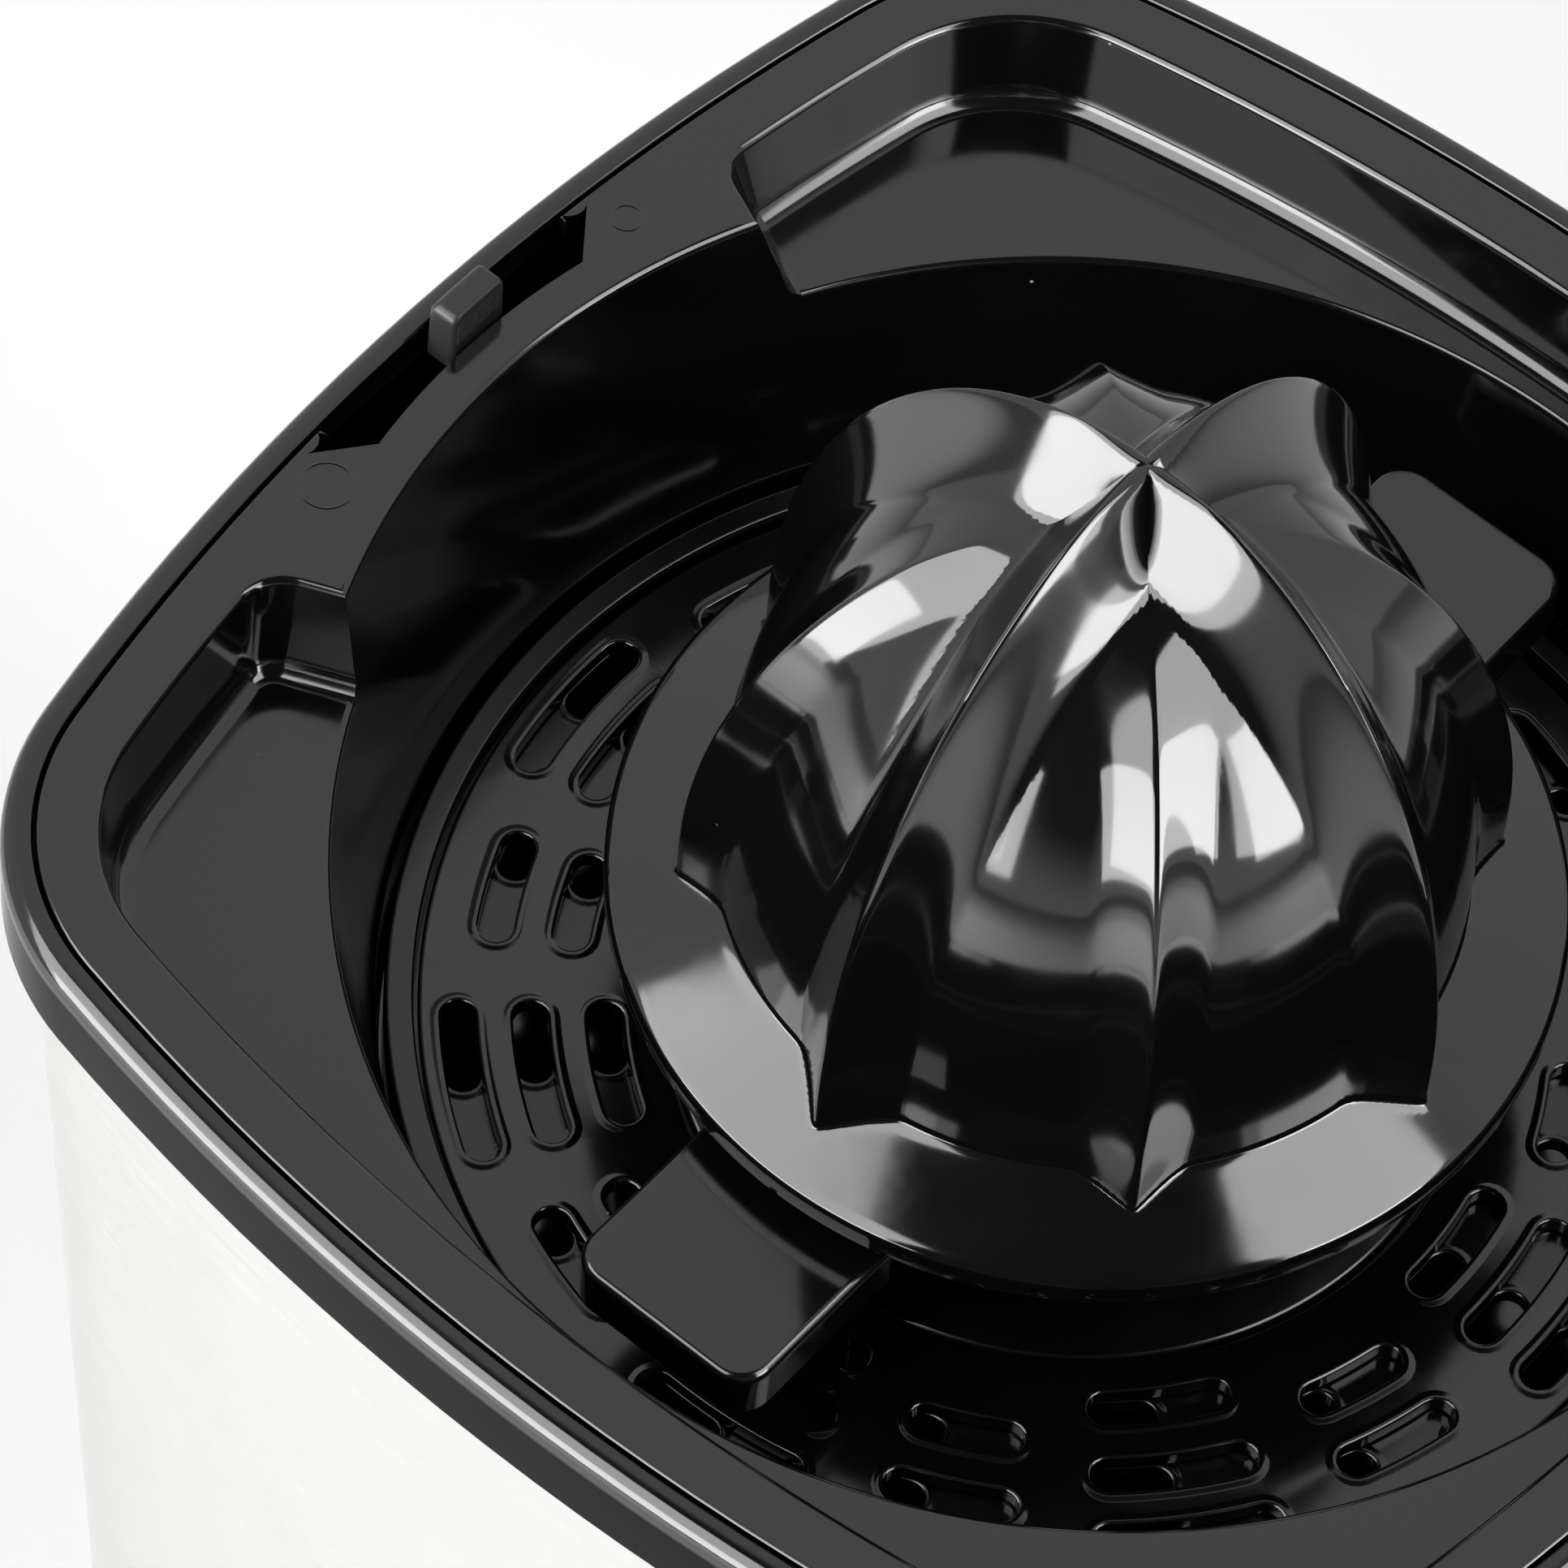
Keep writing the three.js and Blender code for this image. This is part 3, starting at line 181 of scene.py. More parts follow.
def rounded(corners, steps):
    """Closed polygon from (u, v, radius) corners, with each corner drawn as an arc."""
    points = []
    count = len(corners)
    for i, (u, v, radius) in enumerate(corners):
        here = Vector((u, v))
        back = Vector(corners[i - 1][:2]) - here
        ahead = Vector(corners[(i + 1) % count][:2]) - here
        if radius <= 0:
            points.append((u, v))
            continue
        half = back.angle(ahead) / 2
        length = radius / math.tan(half)
        first = here + back.normalized() * length
        last = here + ahead.normalized() * length
        centre = here + (back.normalized() + ahead.normalized()).normalized() * radius / math.sin(half)
        points += bend(centre, first, last, steps)
        points.append(tuple(last))
    return points


def loft(loops, closed=False):
    """Skin over loops of equal length. An open skin is capped at both ends."""
    count = len(loops[0])
    rows = len(loops)
    points = [point for loop in loops for point in loop]
    faces = []
    for row in range(rows if closed else rows - 1):
        a, b = row * count, (row + 1) % rows * count
        for i in range(count):
            j = (i + 1) % count
            faces.append((a + i, a + j, b + j, b + i))
    if not closed:
        faces.append(tuple(reversed(range(count))))
        faces.append(tuple(range((rows - 1) * count, rows * count)))
    return points, faces


def turned(profile, steps, centre=(0, 0)):
    """Closed (radius, z) profile turned about a vertical axis."""
    loops = []
    for radius, z in profile:
        circle = arc(centre, radius, 0, 2 * math.pi, steps)
        loops.append([(x, y, z) for x, y in circle])
    return loft(loops, closed=True)


def cylinder(radius, z0, z1, steps, centre=(0, 0)):
    return turned([(0, z0), (radius, z0), (radius, z1), (0, z1)], steps, centre)


def part_turned(profile, start, end, steps):
    """Closed (radius, z) profile swept through part of a turn, with flat ends."""
    loops = []
    for i in range(steps + 1):
        angle = start + (end - start) * i / steps
        loops.append([(r * math.cos(angle), r * math.sin(angle), z) for r, z in profile])
    return loft(loops)


def prism(points, z0, z1):
    return loft([at_height(points, z0), at_height(points, z1)])


def cuboid(xs, ys, zs, radius=0.0):
    corners = [(xs[0], ys[0]), (xs[1], ys[0]), (xs[1], ys[1]), (xs[0], ys[1])]
    return prism(rounded([(x, y, radius) for x, y in corners], 4), *zs)


def round_block(corners, z0, z1, top, bottom):
    """Prism over (x, y, radius) corners with rounded top and bottom edges."""
    least_radius = 0.15
    middle = Vector((sum(c[0] for c in corners), sum(c[1] for c in corners))) / len(corners)
    rows = [(bottom * (1 - math.sin(t)), z0 + bottom * (1 - math.cos(t))) for t in quarter_turn(5)]
    rows += [(top * (1 - math.cos(t)), z1 - top + top * math.sin(t)) for t in quarter_turn(5)]
    loops = []
    for inset, z in rows:
        shrunk = []
        for x, y, radius in corners:
            sx = 1 if x > middle.x else -1
            sy = 1 if y > middle.y else -1
            shrunk.append((x - sx * inset, y - sy * inset, max(least_radius, radius - inset)))
        loops.append(at_height(rounded(shrunk, 8), z))
    return loft(loops)


def joined(*shapes):
    points, faces = [], []
    for more_points, more_faces in shapes:
        start = len(points)
        points += more_points
        faces += [tuple(i + start for i in face) for face in more_faces]
    return points, faces


def moved(shape, matrix):
    return [tuple(matrix @ Vector(point)) for point in shape[0]], shape[1]


def spun(shape, angle):
    return moved(shape, Matrix.Rotation(angle, 4, "Z"))


def laid_along_y(shape, x, y, z):
    """Turns a shape from the vertical axis onto an axis along Y and moves it."""
    return moved(shape, Matrix.Translation((x, y, z)) @ Matrix.Rotation(-math.pi / 2, 4, "X"))


def laid_along_x(shape, x, y, z):
    return moved(shape, Matrix.Translation((x, y, z)) @ Matrix.Rotation(math.pi / 2, 4, "Y"))


def build(name, shape):
    """Mesh object from a shape, in metres in the shared frame."""
    merge_distance = 1e-7
    bm = bmesh.new()
    points, faces = shape
    corners = [bm.verts.new((AXIS_X + x * MM, AXIS_Y + y * MM, z * MM)) for x, y, z in points]
    for face in faces:
        if len(set(face)) > 2:
            bm.faces.new([corners[i] for i in face])
    bmesh.ops.remove_doubles(bm, verts=bm.verts, dist=merge_distance)
    bmesh.ops.recalc_face_normals(bm, faces=bm.faces)
    mesh = bpy.data.meshes.new(name)
    bm.to_mesh(mesh)
    bm.free()
    piece = bpy.data.objects.new(name, mesh)
    bpy.context.scene.collection.objects.link(piece)
    return piece


def combine(target, shapes, operation):
    """Joins shapes to the target or cuts them from it, and keeps the result as its mesh."""
    tools = [build("tool", shape) for shape in shapes]
    for tool in tools:
        step = target.modifiers.new("combine", "BOOLEAN")
        step.object = tool
        step.operation = operation
        step.solver = "MANIFOLD"
    bpy.context.view_layer.update()
    result = target.evaluated_get(bpy.context.evaluated_depsgraph_get())
    mesh = bpy.data.meshes.new_from_object(result)
    target.modifiers.clear()
    old = target.data
    target.data = mesh
    bpy.data.meshes.remove(old)
    for tool in tools:
        tool_mesh = tool.data
        bpy.data.objects.remove(tool)
        bpy.data.meshes.remove(tool_mesh)


def paint(piece, finish):
    piece.data.materials.clear()
    piece.data.materials.append(finish.material)


def weight_normals(piece):
    weighted = piece.modifiers.new("weighted_normals", "WEIGHTED_NORMAL")
    weighted.keep_sharp = True


def finish_piece(piece, body, finish, nodes=(), angle=33):
    """Smooth shading, the material, and the body that carries the piece."""
    piece.data.shade_smooth()
    piece.data.set_sharp_from_angle(angle=math.radians(angle))
    paint(piece, finish)
    weight_normals(piece)
    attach(piece, body)
    if nodes:
        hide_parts(*nodes)


# ---------------------------------------------------------------- node materials
RANGE_SOCKETS = ("From Min", "From Max", "To Min", "To Max")


class Finish:
    """A Principled material and short calls that add nodes to it."""

    def __init__(self, name, color, roughness, metallic=0.0):
        self.material = bpy.data.materials.new(name)
        self.material.use_nodes = True
        self.nodes = self.material.node_tree.nodes
        self.links = self.material.node_tree.links
        self.shader = self.nodes["Principled BSDF"]
        self.shader.inputs["Base Color"].default_value = (*color, 1)
        self.shader.inputs["Roughness"].default_value = roughness
        self.shader.inputs["Metallic"].default_value = metallic
        self.place = self.nodes.new("ShaderNodeTexCoord").outputs["Object"]
        self.normal = None

    def stretched(self, x, y, z):
        mapping = self.nodes.new("ShaderNodeMapping")
        mapping.inputs["Scale"].default_value = (x, y, z)
        self.links.new(self.place, mapping.inputs["Vector"])
        return mapping.outputs["Vector"]

    def noise(self, scale, detail=3, roughness=0.55, vector=None):
        node = self.nodes.new("ShaderNodeTexNoise")
        node.inputs["Scale"].default_value = scale
        node.inputs["Detail"].default_value = detail
        node.inputs["Roughness"].default_value = roughness
        self.links.new(vector or self.place, node.inputs["Vector"])
        return node.outputs["Fac"]

    def specks(self, scale, size, share):
        """1 inside sparse dots, 0 elsewhere. The share is the part of the cells with a dot."""
        core, step = 0.6, 0.02
        cells = self.nodes.new("ShaderNodeTexVoronoi")
        cells.inputs["Scale"].default_value = scale
        self.links.new(self.place, cells.inputs["Vector"])
        dot = self.ranged(cells.outputs["Distance"], size * core, size, 1, 0)
        chosen = self.ranged(self.channel(cells.outputs["Color"]), 1 - share, 1 - share + step, 0, 1)
        return self.math("MULTIPLY", dot, chosen)

    def channel(self, color):
        split = self.nodes.new("ShaderNodeSeparateColor")
        self.links.new(color, split.inputs["Color"])
        return split.outputs["Red"]

    def ranged(self, value, low, high, to_low, to_high):
        node = self.nodes.new("ShaderNodeMapRange")
        for name, number in zip(RANGE_SOCKETS, (low, high, to_low, to_high)):
            node.inputs[name].default_value = number
        self.links.new(value, node.inputs["Value"])
        return node.outputs["Result"]

    def math(self, operation, a, b):
        node = self.nodes.new("ShaderNodeMath")
        node.operation = operation
        for socket, value in zip(node.inputs, (a, b)):
            if isinstance(value, (int, float)):
                socket.default_value = value
            else:
                self.links.new(value, socket)
        return node.outputs[0]

    def mixed(self, share, first, second):
        """Colour between two colours; a colour is three numbers or a socket."""
        node = self.nodes.new("ShaderNodeMix")
        node.data_type = "RGBA"
        self.links.new(share, node.inputs[0])
        for socket, value in ((node.inputs[6], first), (node.inputs[7], second)):
            if isinstance(value, tuple):
                socket.default_value = (*value, 1)
            else:
                self.links.new(value, socket)
        return node.outputs[2]

    def color(self, socket):
        self.links.new(socket, self.shader.inputs["Base Color"])

    def roughness(self, socket):
        self.links.new(socket, self.shader.inputs["Roughness"])

    def bump(self, height, distance, strength=1.0):
        node = self.nodes.new("ShaderNodeBump")
        node.inputs["Strength"].default_value = strength
        node.inputs["Distance"].default_value = distance
        self.links.new(height, node.inputs["Height"])
        if self.normal:
            self.links.new(self.normal, node.inputs["Normal"])
        self.normal = node.outputs["Normal"]
        self.links.new(self.normal, self.shader.inputs["Normal"])


# Colours of the black gloss plastic and of the dust on it.
GLOSS_DARK = (0.0012, 0.0012, 0.0012)
GLOSS_LIGHT = (0.0028, 0.0027, 0.0026)
DUST_COLOR = (0.22, 0.21, 0.20)
DUST_ROUGHNESS = 0.4
# A noise texture stays mostly between these values; drawn lines spread a little wider.
NOISE_RANGE = (0.3, 0.7)
LINE_RANGE = (0.25, 0.75)


def gloss_finish(name, rough_low, rough_high, light=GLOSS_LIGHT, wave=0.000012, shine=1.0):
    """Moulded gloss plastic: faint flow marks, uneven polish, fine dust."""
    finish = Finish(name, GLOSS_DARK, rough_low)
    finish.shader.inputs["Specular IOR Level"].default_value = shine
    flow = finish.noise(scale=38, detail=2)
    tone = finish.mixed(flow, GLOSS_DARK, light)
    dust = finish.specks(scale=260, size=0.055, share=0.045)
    finish.color(finish.mixed(dust, tone, DUST_COLOR))
    patches = finish.noise(scale=95, detail=4, roughness=0.65)
    polish = finish.ranged(patches, *NOISE_RANGE, rough_low, rough_high)
    finish.roughness(finish.math("ADD", polish, finish.math("MULTIPLY", dust, DUST_ROUGHNESS)))
    finish.bump(finish.noise(scale=24, detail=2, roughness=0.4), wave)
    return finish


def grain_finish(name, low, high, rough_low, rough_high, scale, depth):
    """Plastic or rubber with a moulded grain."""
    finish = Finish(name, low, rough_low)
    finish.color(finish.mixed(finish.noise(scale=60, detail=4, roughness=0.6), low, high))
    finish.roughness(finish.ranged(finish.noise(scale=140), *NOISE_RANGE, rough_low, rough_high))
    finish.bump(finish.noise(scale, roughness=0.6), depth)
    return finish


def metal_finish(name, low, high, rough_low, rough_high, stretch, scale, depth):
    """Metal with drawn or brushed lines along one direction."""
    finish = Finish(name, low, rough_low, metallic=1.0)
    lines = finish.noise(scale, 4, 0.7, finish.stretched(*stretch))
    patches = finish.noise(scale=30, detail=4, roughness=0.6)
    finish.color(finish.mixed(patches, low, high))
    finish.roughness(finish.ranged(lines, *LINE_RANGE, rough_low, rough_high))
    finish.bump(lines, depth)
    return finish


FINISHES = {
    "black_gloss": gloss_finish("black_gloss", 0.07, 0.13),
    "black_satin": grain_finish("black_satin", (0.003, 0.003, 0.003), (0.007, 0.007, 0.007), 0.34, 0.5,
                                2600, 0.00003),
    "steel_sleeve": metal_finish("steel_sleeve", (0.62, 0.62, 0.61), (0.70, 0.70, 0.69), 0.30, 0.46,
                                 (0.05, 0.05, 1.0), 2400, 0.000012),
    "rubber": grain_finish("rubber", (0.016, 0.016, 0.016), (0.032, 0.031, 0.030), 0.72, 0.92, 1800, 0.00004),
    "zinc_steel": metal_finish("zinc_steel", (0.46, 0.47, 0.49), (0.66, 0.67, 0.68), 0.28, 0.5,
                               (1.0, 1.0, 0.3), 900, 0.00001),
    "spring_steel": metal_finish("spring_steel", (0.36, 0.36, 0.38), (0.52, 0.52, 0.54), 0.22, 0.4,
                                 (1.0, 1.0, 4.0), 500, 0.000008),
    "white_acetal": grain_finish("white_acetal", (0.74, 0.72, 0.65), (0.86, 0.85, 0.79), 0.32, 0.48,
                                 700, 0.00001),
    "grey_plastic": grain_finish("grey_plastic", (0.028, 0.029, 0.031), (0.055, 0.057, 0.06), 0.42, 0.6,
                                 1500, 0.00002),
    "copper_wire": metal_finish("copper_wire", (0.52, 0.17, 0.07), (0.76, 0.31, 0.14), 0.25, 0.42,
                                (0.02, 0.02, 1.0), 2500, 0.0001),
    "magnet": grain_finish("magnet", (0.030, 0.029, 0.028), (0.060, 0.057, 0.054), 0.5, 0.7, 900, 0.00005),
    "brown_insulation": grain_finish("brown_insulation", (0.10, 0.032, 0.014), (0.15, 0.052, 0.024),
                                     0.35, 0.5, 800, 0.00001),
    "blue_insulation": grain_finish("blue_insulation", (0.012, 0.06, 0.24), (0.024, 0.09, 0.33),
                                    0.35, 0.5, 800, 0.00001),
}
SLOT_OF = {part["node"]: part["material_slot"] for part in frame["record"]["subparts"]}


# ---------------------------------------------------------------- carried-over CAD nodes
REPLACED = {
    "juice_tray", "top_cover", "housing_sleeve", "base_plate", "cord_gland", "strainer", "pulp_disc",
    "reamer", "foot_front_left", "foot_front_right", "foot_rear_left", "foot_rear_right",
    "press_spring",
}
WELD_DISTANCE = 0.000002
BEVEL_WIDTH = 0.0002
BEVEL_ANGLE = math.radians(40)
for name, node in frame["nodes"].items():
    paint(node, FINISHES[SLOT_OF[name]])
    if name in REPLACED:
        continue
    weld = node.modifiers.new("weld", "WELD")
    weld.merge_threshold = WELD_DISTANCE
    bevel = node.modifiers.new("bevel", "BEVEL")
    bevel.width = BEVEL_WIDTH
    bevel.segments = 2
    bevel.limit_method = "ANGLE"
    bevel.angle_limit = BEVEL_ANGLE
    bevel.harden_normals = False
    node.data.shade_smooth()
    weight_normals(node)


# ---------------------------------------------------------------- housing
def ring_section(corners):
    """Loops round the housing for a closed (half width, z) section with rounded corners."""
    return [at_height(outline(half), z) for half, z in rounded(corners, 5)]


def make_cover():
    """Rim, well, deck and bosses of the housing."""
    well_outer, step_outer, lip = 76.3, 79.3, SLEEVE_HALF + 0.35
    step_under, seat = WELL_STEP_Z - 2, SLEEVE_Z1 + 0.3
    section = [
        (well_outer, DECK_Z0, 0.4), (well_outer, step_under, 0), (step_outer, step_under, 0),
        (step_outer, seat, 0), (lip, seat, 0), (lip, RING_Z, 0.3),
        (OUTER_HALF, RING_Z, 0.8), (OUTER_HALF, RIM_Z, 1.9), (SEAM_HALF, RIM_Z, 0.35),
        (SEAM_HALF, LEDGE_Z, 0), (LEDGE_HALF, LEDGE_Z, 0.4), (LEDGE_HALF, WELL_STEP_Z, 0.3),
        (WELL_HALF, WELL_STEP_Z, 0.4), (WELL_HALF, DECK_Z1 - 0.5, 0),
    ]
    cover = build("top_cover_moulding", loft(ring_section(section), closed=True))
    posts = [cylinder(5, 16, 149, 32, at) for at in BOSSES]
    posts += [cylinder(4, 144, 149, 32, at) for at in EARS]
    spindle_boss = turned([(0, 140), (9.5, 140), (9.5, 154.7), (8.9, 155.5), (0, 155.5)], 64)
    deck = prism(outline(WELL_HALF + 1), DECK_Z0, DECK_Z1)
    combine(cover, [deck, spindle_boss, joined(*posts)], "UNION")
    holes = [cylinder(SCREW_HOLE_R, 15, 30, 16, at) for at in BOSSES]
    holes += [cylinder(SCREW_HOLE_R, 143, 148.9, 16, at) for at in EARS]
    spindle_hole = cylinder(7.2, 139, 157, 64)
    notch = cuboid((-NOTCH_HALF, NOTCH_HALF), (-100, -60), (DECK_Z1 + 1, RIM_Z + 3))
    combine(cover, [spindle_hole, joined(*holes), notch], "DIFFERENCE")
    finish_piece(cover, "base", COVER_FINISH, ["top_cover"])


def make_lug():
    """The textured catch that stands in the slot of the tray's rim."""
    top = cover_high.z / MM
    crown, crown_side, crown_back = 1.1, 1.0, 0.9
    rows = [(199.0, 1.0, 0), (204.0, 0.6, 0), (208.0, 0.25, 0), (top - 1.5, 0.0, 0)]
    for t in quarter_turn(5)[1:]:
        share = 1 - math.cos(t)
        rows.append((top - crown + crown * math.sin(t), -crown_side * share, crown_back * share))
    loops = []
    for z, grow, back in rows:
        left = LUG_X - LUG_HALF - grow
        right = LUG_X + LUG_HALF + max(grow, 0) * 0.2 + min(grow, 0)
        near, far = LUG_FRONT + max(0, -grow) * 0.4, LUG_BACK - back
        corners = [(left, near, 0.7), (right, near, 0.7), (right, far, 0.5), (left, far, 0.5)]
        loops.append(at_height(rounded(corners, 5), z))
    lug = build("rear_lug", loft(loops))
    finish_piece(lug, "base", LUG_FINISH)


def make_sleeve():
    """Metal skin, narrower at its foot, with the notch for the apron and the cord's hole."""
    outer, inner = SLEEVE_HALF, SLEEVE_HALF - SLEEVE_WALL
    corners = [
        (inner, SLEEVE_Z0, 0.3), (outer, SLEEVE_Z0, 0.5), (outer, SLEEVE_Z1, 0.3), (inner, SLEEVE_Z1, 0.3),
    ]
    rows = rounded(corners, 4)
    first = [row for row in rows if row[1] < SLEEVE_MIDDLE]
    last = [row for row in rows if row[1] >= SLEEVE_MIDDLE]
    between = [60.0, 110.0, 160.0]
    section = first + [(outer, z) for z in between] + last + [(inner, z) for z in reversed(between)]
    loops = [at_height(outline(half), z, sleeve_scale(z)) for half, z in section]
    sleeve = build("sleeve_skin", loft(loops, closed=True))
    notch = cuboid((-NOTCH_HALF, NOTCH_HALF), (-100, -60), (APRON_Z0 - 0.6, RIM_Z))
    hole = laid_along_y(cylinder(5.5, -10, 10, 48), 0, 75, CORD_Z)
    combine(sleeve, [notch, hole], "DIFFERENCE")
    finish_piece(sleeve, "base", FINISHES["steel_sleeve"], ["housing_sleeve"])


def make_base():
    """Base plate with its screw posts and vents, the feet and the cord's gland."""
    scale = sleeve_scale(SLEEVE_Z0)
    seat, low, top = SLEEVE_HALF + 0.6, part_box("base_plate")[0].z / MM, SLEEVE_Z0 - 0.3
    wall_outer, wall_inner, wall_top = SLEEVE_HALF - 1.7, SLEEVE_HALF - 3.7, 17
    floor_half, floor_top = SLEEVE_HALF - 6.7, 6
    section = [
        (floor_half, low, 0), (seat, low, 1.4), (seat, top, 0.4), (wall_outer, top, 0),
        (wall_outer, wall_top, 0.5), (wall_inner, wall_top, 0.5), (wall_inner, floor_top, 0.8),
        (floor_half, floor_top, 0),
    ]
    loops = [at_height(outline(half), z, scale) for half, z in rounded(section, 4)]
    plate = build("base_moulding", loft(loops))
    posts = [turned([(0, 5), (6.4, 5), (6.4, 15.2), (5.9, 15.7), (0, 15.7)], 48, at) for at in BOSSES]
    combine(plate, [joined(*posts)], "UNION")
    wells = [cylinder(4, 2, 9.3, 32, at) for at in BOSSES]
    shanks = [cylinder(1.8, 9, 17, 24, at) for at in BOSSES]
    pegs = [cylinder(2.8, 2, 7, 24, at) for at in FEET.values()]
    pitch, vent_half = 9, 1.6
    vents = [cuboid((i * pitch - vent_half, i * pitch + vent_half), (-14, 14), (2, 7), 1.5)
             for i in range(-2, 3)]
    combine(plate, [joined(*wells), joined(*shanks), joined(*pegs, *vents)], "DIFFERENCE")
    finish_piece(plate, "base", FINISHES["black_satin"], ["base_plate"])
    foot_profile = [
        (0, 0), (5.6, 0), (5.9, 0.35), (6.3, 0.35), (6.8, 0), (7.2, 0.1), (7.75, 0.7), (8, 1.4), (8, 2.6),
        (7.6, 3.0), (2.5, 3.0), (2.5, 6.3), (2, 6.8), (0, 6.8),
    ]
    for name, at in FEET.items():
        foot = build("rubber_foot_" + name, turned(foot_profile, 64, at))
        finish_piece(foot, "base", FINISHES["rubber"], ["foot_" + name])
    gland_profile = [
        (3.3, -5), (5.2, -5), (5.2, 3.8), (7.0, 3.8), (7.4, 4.2), (7.4, 4.9), (6.8, 5.6), (4.2, 5.6),
        (3.3, 5.1),
    ]
    gland = build("inlet_gland", laid_along_y(turned(gland_profile, 64), 0, 72.5, CORD_Z))
    finish_piece(gland, "base", FINISHES["rubber"], ["cord_gland"])


# ---------------------------------------------------------------- tray
def pocket_contour(inset, wall_shift, half=POCKET_HALF):
    """Plan of the spill pocket: the housing outline, cut off by a wall at each end of the rear
    land, and closed across the bowl. Runs anticlockwise from the left wall."""
    inset_all = OUTER_HALF - half + inset
    bow = SIDE_BOW_R - inset_all
    side_centre = Vector((0, -SIDE_OFFSET))
    least_radius, past_wall = 0.5, 60
    ends = []
    for sign, radius in zip((-1, 1), POCKET_CORNERS):
        radius = max(least_radius, radius - inset)
        along = Vector((sign * math.sin(LAND_ANGLE), math.cos(LAND_ANGLE)))
        away = Vector((sign * math.cos(LAND_ANGLE), -math.sin(LAND_ANGLE)))
        offset = away * (wall_shift + radius) - side_centre
        b = offset.dot(along)
        c = offset.length_squared - (bow - radius) ** 2
        t = -b + math.sqrt(b * b - c)
        centre = away * (wall_shift + radius) + along * t
        wall_end = away * wall_shift + along * t
        wall_start = away * wall_shift + along * past_wall
        touch = side_centre + (centre - side_centre).normalized() * bow
        ends.append((wall_start, wall_end, centre, radius, touch))
    left, right = ends

    def heading(point):
        relative = point - side_centre
        return math.atan2(relative.y, relative.x)

    points = [tuple(left[0])]
    points += bend(left[2], left[1], left[4], 7)
    rear_end = math.pi / 2 + SIDE_ANGLE
    points += arc(side_centre, bow, heading(left[4]), rear_end, 10)
    reach = CORNER_CENTRE * math.sqrt(2)
    for quarter in (1, 2, 3, 4):
        turn = quarter * math.pi / 2
        diagonal = turn + math.pi / 4
        corner = (reach * math.cos(diagonal), reach * math.sin(diagonal))
        points += arc(corner, CORNER_R - inset_all, turn + SIDE_ANGLE, turn + math.pi / 2 - SIDE_ANGLE, 20)
        if quarter < 4:
            ahead = turn + math.pi / 2
            side = (-SIDE_OFFSET * math.cos(ahead), -SIDE_OFFSET * math.sin(ahead))
            points += arc(side, bow, ahead - SIDE_ANGLE, ahead + SIDE_ANGLE, 24)
    points += arc(side_centre, bow, math.pi / 2 - SIDE_ANGLE, heading(right[4]), 10)
    points += bend(right[2], right[4], right[1], 7)
    points.append(tuple(right[1]))
    points.append(tuple(right[0]))
    return points


def pocket_cutter():
    """The spill pocket's space: rounded lip, sloping sides and a fillet at the floor."""
    edge, fillet, slope, wall_slope = 0.8, 2.2, 1.2, 2.8
    rows = [(RIM_Z + 3, -edge, -edge)]
    for t in quarter_turn(6):
        inset = -edge + edge * math.sin(t)
        rows.append((RIM_Z - edge + edge * math.cos(t), inset, inset))
    depth = RIM_Z - POCKET_Z
    low = depth - fillet
    for t in quarter_turn(7):
        curl = fillet * (1 - math.cos(t))
        z = POCKET_Z + fillet * (1 - math.sin(t))
        rows.append((z, slope * low / depth + curl, wall_slope * low / depth + curl))
    return loft([at_height(pocket_contour(inset, shift), z) for z, inset, shift in rows])


def bowl_cutter():
    """The bowl's space, from the floor round the chimney up to the rounded rim."""
    fillet, edge = 1.2, 0.7
    profile = [(CHIMNEY_R + 2, FLOOR_Z)]
    for t in quarter_turn(4):
        profile.append((LEDGE_R - 2.2 + fillet * math.sin(t), FLOOR_Z + fillet * (1 - math.cos(t))))
    profile += [
        (LEDGE_R - 0.2, STRAINER_Z - 0.4), (LEDGE_R + 0.2, STRAINER_Z), (BOWL_LOW_R - 0.5, STRAINER_Z),
        (BOWL_LOW_R, STRAINER_Z + 0.5), (BOWL_LOW_R, BOWL_LOW_Z - 1),
    ]
    run, rise = BOWL_R - BOWL_LOW_R, RIM_Z - BOWL_LOW_Z
    for k in range(1, 6):
        profile.append((BOWL_LOW_R + run * 0.03 * k * k / 25, BOWL_LOW_Z - 1 + 0.4 * k))
    profile += [(BOWL_LOW_R + run * s, BOWL_LOW_Z + rise * s) for s in (0.25, 0.5, 0.75)]
    for k, t in enumerate(quarter_turn(5)):
        radius = BOWL_R + edge * (1 - math.cos(t)) - 0.15 * (1 - k / 5)
        profile.append((radius, RIM_Z - edge + edge * math.sin(t)))
    profile += [
        (BOWL_R + edge, RIM_Z + 3), (0, RIM_Z + 3), (0, CHIMNEY_Z), (CHIMNEY_R + 1.2, CHIMNEY_Z),
        (CHIMNEY_R + 1.76, CHIMNEY_Z - 0.24), (CHIMNEY_R + 2, CHIMNEY_Z - 0.8),
    ]
    return turned(profile, ROUND_STEPS)


